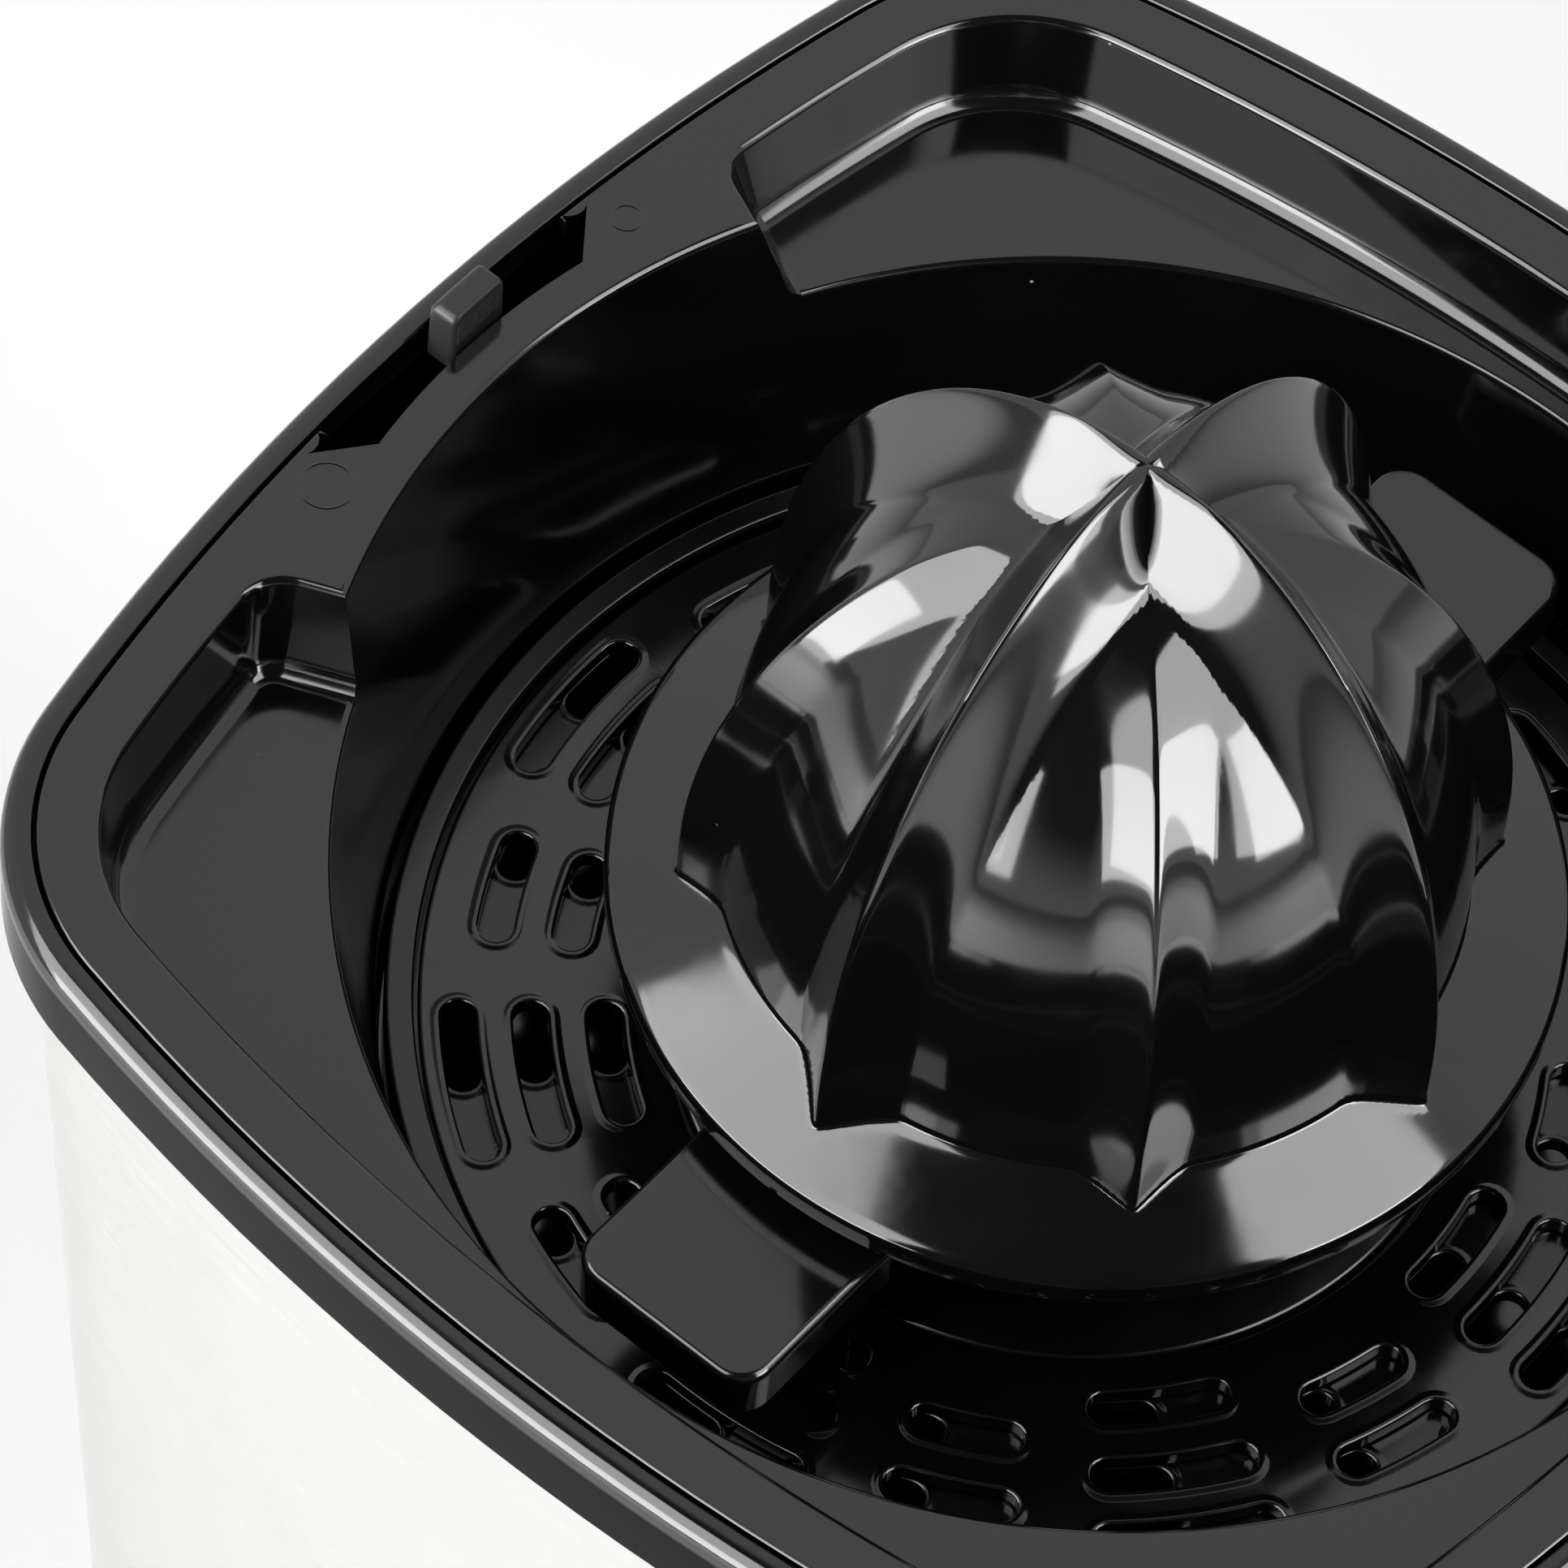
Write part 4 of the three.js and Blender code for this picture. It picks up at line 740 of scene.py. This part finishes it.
def floor_edge_cutter():
    """Takes the sharp corner off the pocket floor where it meets the bowl."""
    drop = (POCKET_Z - BOWL_LOW_Z) / (RIM_Z - BOWL_LOW_Z)
    radius = BOWL_LOW_R + (BOWL_R - BOWL_LOW_R) * drop
    edge, top = 0.6, POCKET_Z + 0.002
    profile = [(radius + edge, POCKET_Z + 1), (radius + edge, top)]
    for k, t in enumerate(quarter_turn(5)[1:], 1):
        profile.append((radius + edge - edge * math.sin(t) - 0.1 * k / 5, top - edge * (1 - math.cos(t))))
    profile += [(radius - 2, POCKET_Z - edge), (radius - 2, POCKET_Z + 1)]
    margin = LAND_ANGLE + math.radians(3.2)
    return part_turned(profile, math.pi / 2 + margin, 2.5 * math.pi - margin, ROUND_STEPS)


def slot_cutter():
    """Slot in the rear rim: open to the seam, with a rounded hook at each end."""
    radius, half_width, steps = 76.3, 14.4, 24
    reach = math.asin(half_width / radius)
    end = [(-24, 84, 0), (-24, 80.35, 0), (-17.0, 80.35, 1.5), (-16.4, 74.6, 1.9)]
    left = rounded(end, 6)
    inner = [(-radius * math.sin(a), radius * math.cos(a))
             for a in [reach * (1 - 2 * k / steps) for k in range(steps + 1)]]
    right = [(-x, y) for x, y in reversed(left)]
    left = [point for point in left if point[0] < inner[0][0]]
    right = [point for point in right if point[0] > inner[-1][0]]
    return prism(left + inner + right, RIM_Z - 8, RIM_Z + 3)


def front_line(half, x, z, scaled):
    """How far forward the housing's front face is at a given x."""
    bow = SIDE_BOW_R - (OUTER_HALF - half)
    y = -(math.sqrt(bow * bow - x * x) - SIDE_OFFSET)
    return y * (sleeve_scale(z) if scaled else 1.0)


def apron_shape():
    """The plate that hangs from the tray's rim in the notch at the front."""
    half, wall, root = NOTCH_HALF - 0.5, 2.8, RIM_Z - 8
    steps = 12
    loops = []
    for i in range(steps + 1):
        x = -half + 2 * half * i / steps
        face = front_line(OUTER_HALF - 0.3, x, 0, False)
        inside = front_line(TRAY_HALF - 2, x, 0, False)
        section = [
            (face, RIM_Z, 1.7), (face, RING_Z, 0.6),
            (front_line(SLEEVE_HALF, x, RING_Z, True), RING_Z, 0.3),
            (front_line(SLEEVE_HALF, x, APRON_Z0, True), APRON_Z0, 0.8),
            (front_line(SLEEVE_HALF - wall, x, APRON_Z0, True), APRON_Z0, 0.4),
            (front_line(SLEEVE_HALF - wall, x, RING_Z, True), root, 0),
            (inside, root, 0), (inside, RIM_Z, 0),
        ]
        loops.append([(x, y, z) for y, z in rounded(section, 4)])
    return loft(loops)


def make_tray():
    edge = 0.35
    rows = [(TRAY_HALF, RIM_Z - 2.5)]
    for t in quarter_turn(4):
        rows.append((TRAY_HALF - edge * (1 - math.cos(t)), RIM_Z - edge + edge * math.sin(t)))
    tray = build("tray_moulding", loft([at_height(outline(half), z) for half, z in rows]))
    under = loft([at_height(pocket_contour(0, -1.6, POCKET_HALF + TRAY_WALL), z)
                  for z in (POCKET_Z - TRAY_WALL, RIM_Z - 2.1)])
    low_outer = BOWL_LOW_R + TRAY_WALL
    bowl = turned([
        (0, UNDER_Z), (LEDGE_R + 0.6, UNDER_Z), (LEDGE_R + 1.1, UNDER_Z + 0.5),
        (LEDGE_R + 2, STRAINER_Z - 3.5), (low_outer, STRAINER_Z - 1.5), (low_outer, BOWL_LOW_Z),
        (BOWL_R + TRAY_WALL, RIM_Z - 1), (0, RIM_Z - 1),
    ], ROUND_STEPS)
    outer = TROUGH_HALF + TRAY_WALL
    trough = cuboid((-outer, outer), (-91, -59.8), (154.3, 170.2), 0.8)
    combine(tray, [under, bowl, apron_shape(), trough], "UNION")
    channel = cuboid((-TROUGH_HALF, TROUGH_HALF), (-110, -50), (TROUGH_Z0, TROUGH_Z1))
    opening = cuboid((-TROUGH_HALF, TROUGH_HALF), (-110, -85.5), (TROUGH_Z0, 180))
    rod = laid_along_x(cylinder(1.7, -20, 20, 32), 0, PIN_Y, PIN_Z)
    bore = cylinder(CHIMNEY_R, UNDER_Z - 1, CHIMNEY_Z + 1, 96)
    cutters = [pocket_cutter(), bowl_cutter(), floor_edge_cutter(), slot_cutter()]
    combine(tray, cutters + [channel, opening, rod, bore], "DIFFERENCE")
    finish_piece(tray, "tray", TRAY_FINISH, ["juice_tray"], angle=28)


# ---------------------------------------------------------------- strainer and pulp disc
def slot_loop(radius, middle, span, grow):
    """Outline of one curved slot with round ends, made wider by grow."""
    width = SLOT_HALF_WIDTH + grow
    end = span / 2 - SLOT_HALF_WIDTH / radius
    a0, a1 = middle - end, middle + end
    first = (radius * math.cos(a1), radius * math.sin(a1))
    last = (radius * math.cos(a0), radius * math.sin(a0))
    points = arc((0, 0), radius + width, a0, a1, 12)
    points += arc(first, width, a1, a1 + math.pi, 10)
    points += arc((0, 0), radius - width, a1, a0, 12)
    points += arc(last, width, a0 + math.pi, a0 + 2 * math.pi, 10)
    return points


def slots(turn):
    """(radius, middle angle, span) of every juice slot."""
    groups, start = 8, math.radians(5.5)
    long_span, short_span = math.radians(17.8), math.radians(13.2)
    found = []
    for group in range(groups):
        angle = start + turn + group * math.pi / 4
        found += [(radius, angle, long_span) for radius in (43.6, 50.6, 57.4)]
        found += [(radius, angle + math.pi / groups, short_span) for radius in (47.3, 54.5)]
    return found


def slotted_plate(outer, inner, turn, z0, z1):
    """Ring plate with juice slots, each in a fine raised bead. Returns a shape."""
    bead = [(1.15, z1), (0.95, z1 + 0.02), (0.7, z1 + 0.1), (0.45, z1 + 0.16), (0.22, z1 + 0.14),
            (0.06, z1 + 0.04), (0.0, z1 - 0.12), (0.0, z0 + 0.15), (0.12, z0)]
    rim = [(-0.5, z1), (-0.25, z1 - 0.04), (-0.08, z1 - 0.15), (0.0, z1 - 0.4), (0.0, z0)]
    families = [
        [at_height(arc((0, 0), outer + g, 0, 2 * math.pi, ROUND_STEPS), z) for g, z in rim],
        [at_height(arc((0, 0), inner - g, 0, 2 * math.pi, 200), z) for g, z in rim],
    ]
    for radius, middle, span in slots(turn):
        families.append([at_height(slot_loop(radius, middle, span, g), z) for g, z in bead])
    bm = bmesh.new()
    top, bottom = [], []
    for family in families:
        rows = [[bm.verts.new(point) for point in loop] for loop in family]
        count = len(rows[0])
        for a, b in zip(rows, rows[1:]):
            for i in range(count):
                j = (i + 1) % count
                bm.faces.new((a[i], a[j], b[j], b[i]))
        for row, edges in ((rows[0], top), (rows[-1], bottom)):
            for i in range(count):
                edges.append(bm.edges.get((row[i], row[(i + 1) % count])))
    bmesh.ops.triangle_fill(bm, use_beauty=True, edges=top)
    bmesh.ops.triangle_fill(bm, use_beauty=True, edges=bottom)
    bm.verts.index_update()
    points = [tuple(vert.co) for vert in bm.verts]
    faces = [tuple(vert.index for vert in face.verts) for face in bm.faces]
    bm.free()
    return points, faces


def make_strainer():
    low = DISC_Z0 - 1.9
    plate = slotted_plate(62.0, 35.0, math.radians(-9), low, DISC_Z0 - 0.3)
    band_inner, band_outer, band_z0, band_z1 = 61.6, 64.4, STRAINER_Z + 0.3, 176.4
    band = turned(rounded([
        (band_inner, band_z0, 0.3), (band_outer, band_z0, 0.6),
        (band_outer, band_z1, 0.55), (band_inner, band_z1, 0.35),
    ], 5), ROUND_STEPS)
    cone = turned(rounded([
        (34, low, 0), (38, low, 0.3), (38, DISC_Z0 + 0.9, 0.8), (13.6, 181, 0.8),
        (11.4, 181, 0.3), (11.4, 178.6, 0.2), (13.6, 179, 0.3),
    ], 5), 160)
    strainer = build("strainer_bowl", joined(plate, band, cone))
    finish_piece(strainer, "strainer", STRAINER_FINISH, ["strainer"])


def tab_shape():
    """Grip tab of the pulp disc, on its stem."""
    inner, outer, half = 39.5, 60.7, 10.7
    corners = [(inner, -half, 0.9), (outer, -half, 3.6), (outer, half, 3.6), (inner, half, 0.9)]
    grip = round_block(corners, 186.4, 192.4, top=0.9, bottom=0.5)
    stem = cuboid((inner, 41.6), (-8, 8), (DISC_Z0 + 0.2, 187.4), 0.4)
    return joined(grip, stem)


def make_pulp_disc():
    plate = slotted_plate(61.2, 38.6, 0, DISC_Z0, DISC_Z1)
    disc = build("pulp_control_disc", joined(plate, tab_shape(), spun(tab_shape(), math.pi)))
    finish_piece(disc, "pulp_disc", DISC_FINISH, ["pulp_disc"])


# ---------------------------------------------------------------- reamer
# The dome's sections are ellipses about DOME_Z, each given by its radius and its height.
DOME_Z = 205.0
TALL_RIB, LOW_RIB, VALLEY = (39.2, 58.0), (38.2, 50.5), (34.8, 50.0)
TALL_WIDTH, LOW_WIDTH = 6.0, 5.4
CREST = 0.22
RIBS = 8
FADE_START, FADE_RUN = 8, 12
CAVITY_Z, CAVITY_R, CAVITY_HEIGHT = 201, 32.2, 47.4
SKIRT_Z, SKIRT_R, SKIRT_SLOPE, SKIRT_BLEND = 198.5, 43.8, (9.0, 3.7), 0.22
APEX_BLEND = 0.25
BLEND_REACH = 30  # Past this many blend widths a blend makes no difference.


def ellipse_reach(shape, elevation):
    return 1 / math.hypot(math.cos(elevation) / shape[0], math.sin(elevation) / shape[1])


def rib_share(sideways, width):
    """1 on a rib's crest and 0 beyond its width."""
    from_crest = math.hypot(sideways, CREST) - CREST
    return max(0.0, 1 - from_crest / width) ** 1.5


def reamer_reach(angle, elevation):
    """Distance of the ribbed surface from the dome's centre. Low ribs fade out near the tip."""
    base = ellipse_reach(VALLEY, elevation)
    out = base * math.cos(elevation)
    to_tall = math.asin(min(1.0, abs(math.sin(2 * angle)))) / 2
    to_low = math.pi / 4 - to_tall
    t = min(1.0, max(0.0, (out - FADE_START) / FADE_RUN))
    fade = t * t * (3 - 2 * t)
    tall = (ellipse_reach(TALL_RIB, elevation) - base) * rib_share(out * to_tall, TALL_WIDTH)
    low = (ellipse_reach(LOW_RIB, elevation) - base) * rib_share(out * to_low, LOW_WIDTH)
    return base + max(tall, low * fade)


def soft_max(a, b, width):
    return width * math.log(math.exp((a - b) / width) + 1) + b if a - b < BLEND_REACH * width else a


def rib_angles():
    """Angles about the axis, closer together at the crests."""
    per_half = 24
    angles = []
    for crest in range(RIBS):
        for k in range(-per_half, per_half):
            t = k / per_half
            offset = math.pi / RIBS * (0.35 * abs(t) + 0.65 * t * t)
            angles.append(crest * math.pi / 4 + math.copysign(offset, t))
    return angles


def skirt_loops(angles):
    """From the flange's top up to the ribs, where the skirt runs into them."""
    loops = []
    reach = [reamer_reach(a, 0) for a in angles]
    z = SKIRT_Z
    while z < 204.9:
        skirt = SKIRT_R - (z - SKIRT_Z) * SKIRT_SLOPE[0] / SKIRT_SLOPE[1]
        radii = [soft_max(r, skirt, SKIRT_BLEND) for r in reach]
        loops.append([(r * math.cos(a), r * math.sin(a), z) for r, a in zip(radii, angles)])
        z += 0.2 if z < 203 else 0.5
    return loops


def dome_loops(angles, apex):
    """The ribbed dome, rounded off below the apex."""
    loops = []
    rows, last_row = 96, 0.997
    for row in range(rows):
        elevation = math.pi / 2 * row / rows * last_row
        loop = []
        for a in angles:
            r = reamer_reach(a, elevation)
            height = DOME_Z + r * math.sin(elevation)
            if (apex - height) / APEX_BLEND < BLEND_REACH:
                height = apex - APEX_BLEND * math.log1p(math.exp((apex - height) / APEX_BLEND))
            out = r * math.cos(elevation)
            loop.append((out * math.cos(a), out * math.sin(a), height))
        loops.append(loop)
    return loops


def hub_shape():
    """Round hub with a square socket for the spindle."""
    socket_half, radius, chamfer, steps = 4.4, 8.0, 0.3, 48
    low, socket_top, shoulder, top = 188.5, 216, 236, 240
    square = []
    for k in range(steps):
        a = 2 * math.pi * k / steps + math.pi / 4
        c, s = math.cos(a), math.sin(a)
        m = max(abs(c), abs(s))
        square.append((socket_half * c / m, socket_half * s / m))
    ring = arc((0, 0), radius, math.pi / 4, 2.25 * math.pi, steps)
    ring_in = arc((0, 0), radius - chamfer, math.pi / 4, 2.25 * math.pi, steps)
    return loft([
        at_height(square, socket_top), at_height(square, low), at_height(ring_in, low),
        at_height(ring, 188.8), at_height(ring, shoulder), at_height(ring_in, top),
    ])


def make_reamer():
    angles = rib_angles()
    apex = reamer_high.z / MM
    cavity_steps, flange_z = 25, 195.6

    def level(radius, z):
        return [(radius * math.cos(a), radius * math.sin(a), z) for a in angles]

    loops = [[(0, 0, CAVITY_Z + CAVITY_HEIGHT)] * len(angles)]
    for k in range(1, cavity_steps):
        e = math.pi / 2 * (1 - k / cavity_steps)
        loops.append(level(CAVITY_R * math.cos(e), CAVITY_Z + CAVITY_HEIGHT * math.sin(e)))
    rim = [
        (32.4, 200.5), (40.9, 196.0), (41.2, flange_z), (44.2, flange_z), (44.48, 195.72), (44.6, 196.0),
        (44.6, 197.3), (44.55, 197.75), (44.38, 198.1), (44.1, 198.35),
    ]
    loops += [level(radius, z) for radius, z in rim]
    loops += skirt_loops(angles) + dome_loops(angles, apex)
    loops.append([(0, 0, apex - 0.02)] * len(angles))
    points, faces = loft(loops)
    shell = points, faces[:-2]  # Both ends close at a point and need no cap.
    reamer = build("reamer_dome", joined(shell, hub_shape()))
    finish_piece(reamer, "reamer", REAMER_FINISH, ["reamer"], angle=40)


def make_press_spring():
    """The coil under the spindle's cup, built at one length; on the juicer it shortens as fruit presses the
    reamer down.
    """
    low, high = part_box("press_spring")
    wire, radius, turns, steps = 0.6, 5.6, 4, 192
    bottom, top = low.z / MM + wire, high.z / MM - wire
    loops = []
    for i in range(steps + 1):
        angle = 2 * math.pi * turns * i / steps
        loop = []
        for across, up in arc((0, 0), wire, 0, 2 * math.pi, 12):
            reach = radius + across
            z = bottom + (top - bottom) * i / steps + up
            loop.append((reach * math.cos(angle), reach * math.sin(angle), z))
        loops.append(loop)
    spring = build("press_coil", loft(loops))
    finish_piece(spring, "base", FINISHES["spring_steel"], ["press_spring"])
    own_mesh(spring)


# ---------------------------------------------------------------- finishes of single pieces
def ring_mark(finish, x, y, radius, width):
    """1 on a thin ring about a vertical axis, 0 elsewhere."""
    flat = finish.nodes.new("ShaderNodeVectorMath")
    flat.operation = "MULTIPLY"
    flat.inputs[1].default_value = (1, 1, 0)
    finish.links.new(finish.place, flat.inputs[0])
    distance = finish.nodes.new("ShaderNodeVectorMath")
    distance.operation = "DISTANCE"
    finish.links.new(flat.outputs[0], distance.inputs[0])
    distance.inputs[1].default_value = (AXIS_X + x * MM, AXIS_Y + y * MM, 0)
    off = finish.math("ABSOLUTE", finish.math("SUBTRACT", distance.outputs["Value"], radius * MM), 0)
    return finish.ranged(off, 0, width * MM, 1, 0)


def shine_by_height(finish, z0, z1, lower, upper):
    """Specular level that changes from one height to another. The GLB export leaves this link out."""
    split = finish.nodes.new("ShaderNodeSeparateXYZ")
    finish.links.new(finish.place, split.inputs["Vector"])
    shine = finish.ranged(split.outputs["Z"], z0 * MM, z1 * MM, lower, upper)
    finish.links.new(shine, finish.shader.inputs["Specular IOR Level"])


MARK_X, MARK_Y, MARK_WIDTH = 21.2, 75.3, 0.16
LEFT_MARK_R, RIGHT_MARK_R = 2.6, 1.5
TRAY_FINISH = gloss_finish("black_gloss_tray", 0.08, 0.15)
marks = TRAY_FINISH.math("MAXIMUM", ring_mark(TRAY_FINISH, -MARK_X, MARK_Y, LEFT_MARK_R, MARK_WIDTH),
                         ring_mark(TRAY_FINISH, MARK_X, MARK_Y, RIGHT_MARK_R, MARK_WIDTH))
TRAY_FINISH.bump(marks, 0.00006, 0.8)
REAMER_FINISH = gloss_finish("black_gloss_reamer", 0.05, 0.11, light=(0.0030, 0.0029, 0.0028), wave=0.000008)
COVER_FINISH = gloss_finish("black_gloss_cover", 0.08, 0.15)
shine_by_height(COVER_FINISH, RIM_Z - 2.6, RIM_Z - 1.2, lower=0.03, upper=0.9)
STRAINER_FINISH = gloss_finish("black_gloss_strainer", 0.14, 0.22, shine=0.8)
DISC_FINISH = gloss_finish("black_gloss_disc", 0.10, 0.17)
LUG_FINISH = grain_finish("textured_lug", (0.014, 0.014, 0.014), (0.026, 0.025, 0.025), 0.3, 0.42,
                          1500, 0.00006)

make_cover()
make_lug()
make_sleeve()
make_base()
make_tray()
make_strainer()
make_pulp_disc()
make_reamer()
make_press_spring()


# ---------------------------------------------------------------- stage, light and camera
def face_from(direction, roll=0.0):
    """Rotation whose local +Z points along a direction, with its X level before the roll."""
    back = Vector(direction).normalized()
    right = Vector((0, 0, 1)).cross(back).normalized()
    up = back.cross(right)
    c, s = math.cos(roll), math.sin(roll)
    right, up = right * c + up * s, up * c - right * s
    return Matrix((right, up, back)).transposed()


def softbox(name, direction, distance, width, height, radiance, roll=0.0):
    light = bpy.data.lights.new(name, "AREA")
    light.shape = "RECTANGLE"
    light.size = width
    light.size_y = height
    light.energy = radiance * math.pi * width * height
    lamp = bpy.data.objects.new(name, light)
    bpy.context.scene.collection.objects.link(lamp)
    turn = face_from(direction, roll)
    centre = Vector((AXIS_X, AXIS_Y, RIM_Z * MM)) + Vector(direction).normalized() * distance
    lamp.matrix_world = Matrix.Translation(centre) @ turn.to_4x4()
    lamp.visible_camera = False


VIEW_AZIMUTH = math.radians(-54.11)
VIEW_ELEVATION = math.radians(55.80)
VIEW_ROLL = math.radians(5.48)
VIEW_DISTANCE = 0.8765
VIEW_LEFT, VIEW_UP = 0.02866, 0.00158
SENSOR_WIDTH, LENS = 36, 221.24
view_back = Vector((math.sin(VIEW_AZIMUTH) * math.cos(VIEW_ELEVATION),
                    -math.cos(VIEW_AZIMUTH) * math.cos(VIEW_ELEVATION), math.sin(VIEW_ELEVATION)))

KEY_DISTANCE, KEY_RADIANCE, KEY_ROLL = 1.3, 4.4, math.radians(20)
CORE_DISTANCE, CORE_RADIANCE, CORE_ROLL = 1.2, 5.0, math.radians(6)
softbox("key_left", (-0.74, 0.37, 0.50), KEY_DISTANCE, 1.25, 1.95, KEY_RADIANCE, KEY_ROLL)
softbox("key_front", (0.13, -0.80, 0.53), KEY_DISTANCE, 0.62, 1.75, KEY_RADIANCE, -KEY_ROLL)
softbox("core_left", (-0.92, 0.26, 0.20), CORE_DISTANCE, 1.15, 0.62, CORE_RADIANCE, CORE_ROLL)
softbox("core_front", (0.10, -0.95, 0.26), CORE_DISTANCE, 0.50, 0.66, CORE_RADIANCE, -CORE_ROLL)

reach = 2500
corners = [(-reach, -reach, 0), (reach, -reach, 0), (reach, reach, 0), (-reach, reach, 0)]
floor_mesh = build("floor", (corners, [(0, 1, 2, 3)]))
floor_finish = Finish("pale_floor", (0.64, 0.64, 0.64), 0.6)
floor_finish.color(floor_finish.mixed(floor_finish.noise(scale=3), (0.62, 0.62, 0.62), (0.66, 0.66, 0.66)))
paint(floor_mesh, floor_finish)

# The room is evenly lit except on the camera's side, where the photograph's reflections are dark.
DARK_FROM, DARK_TO = 0.50, 0.74
ROOM_STRENGTH, DARK_STRENGTH = 0.66, 0.03
world = bpy.data.worlds.new("studio")
world.use_nodes = True
bpy.context.scene.world = world
tree = world.node_tree
background = tree.nodes["Background"]
direction = tree.nodes.new("ShaderNodeTexCoord").outputs["Generated"]
toward = tree.nodes.new("ShaderNodeVectorMath")
toward.operation = "DOT_PRODUCT"
tree.links.new(direction, toward.inputs[0])
toward.inputs[1].default_value = tuple(view_back)
shade = tree.nodes.new("ShaderNodeMapRange")
shade.interpolation_type = "SMOOTHSTEP"
for socket, number in zip(RANGE_SOCKETS, (DARK_FROM, DARK_TO, ROOM_STRENGTH, DARK_STRENGTH)):
    shade.inputs[socket].default_value = number
tree.links.new(toward.outputs["Value"], shade.inputs["Value"])
tree.links.new(shade.outputs["Result"], background.inputs["Strength"])
background.inputs["Color"].default_value = (1, 1, 1, 1)

camera_data = bpy.data.cameras.new("camera")
camera_data.sensor_width = SENSOR_WIDTH
camera_data.lens = LENS
camera_data.clip_end = 20
camera = bpy.data.objects.new("camera", camera_data)
bpy.context.scene.collection.objects.link(camera)
turn = face_from(view_back, VIEW_ROLL)
aim = Vector((AXIS_X, AXIS_Y, RIM_Z * MM)) - turn.col[0] * VIEW_LEFT + turn.col[1] * VIEW_UP
camera.matrix_world = Matrix.Translation(aim + view_back * VIEW_DISTANCE) @ turn.to_4x4()
bpy.context.scene.camera = camera
bpy.context.scene.view_settings.view_transform = "Standard"
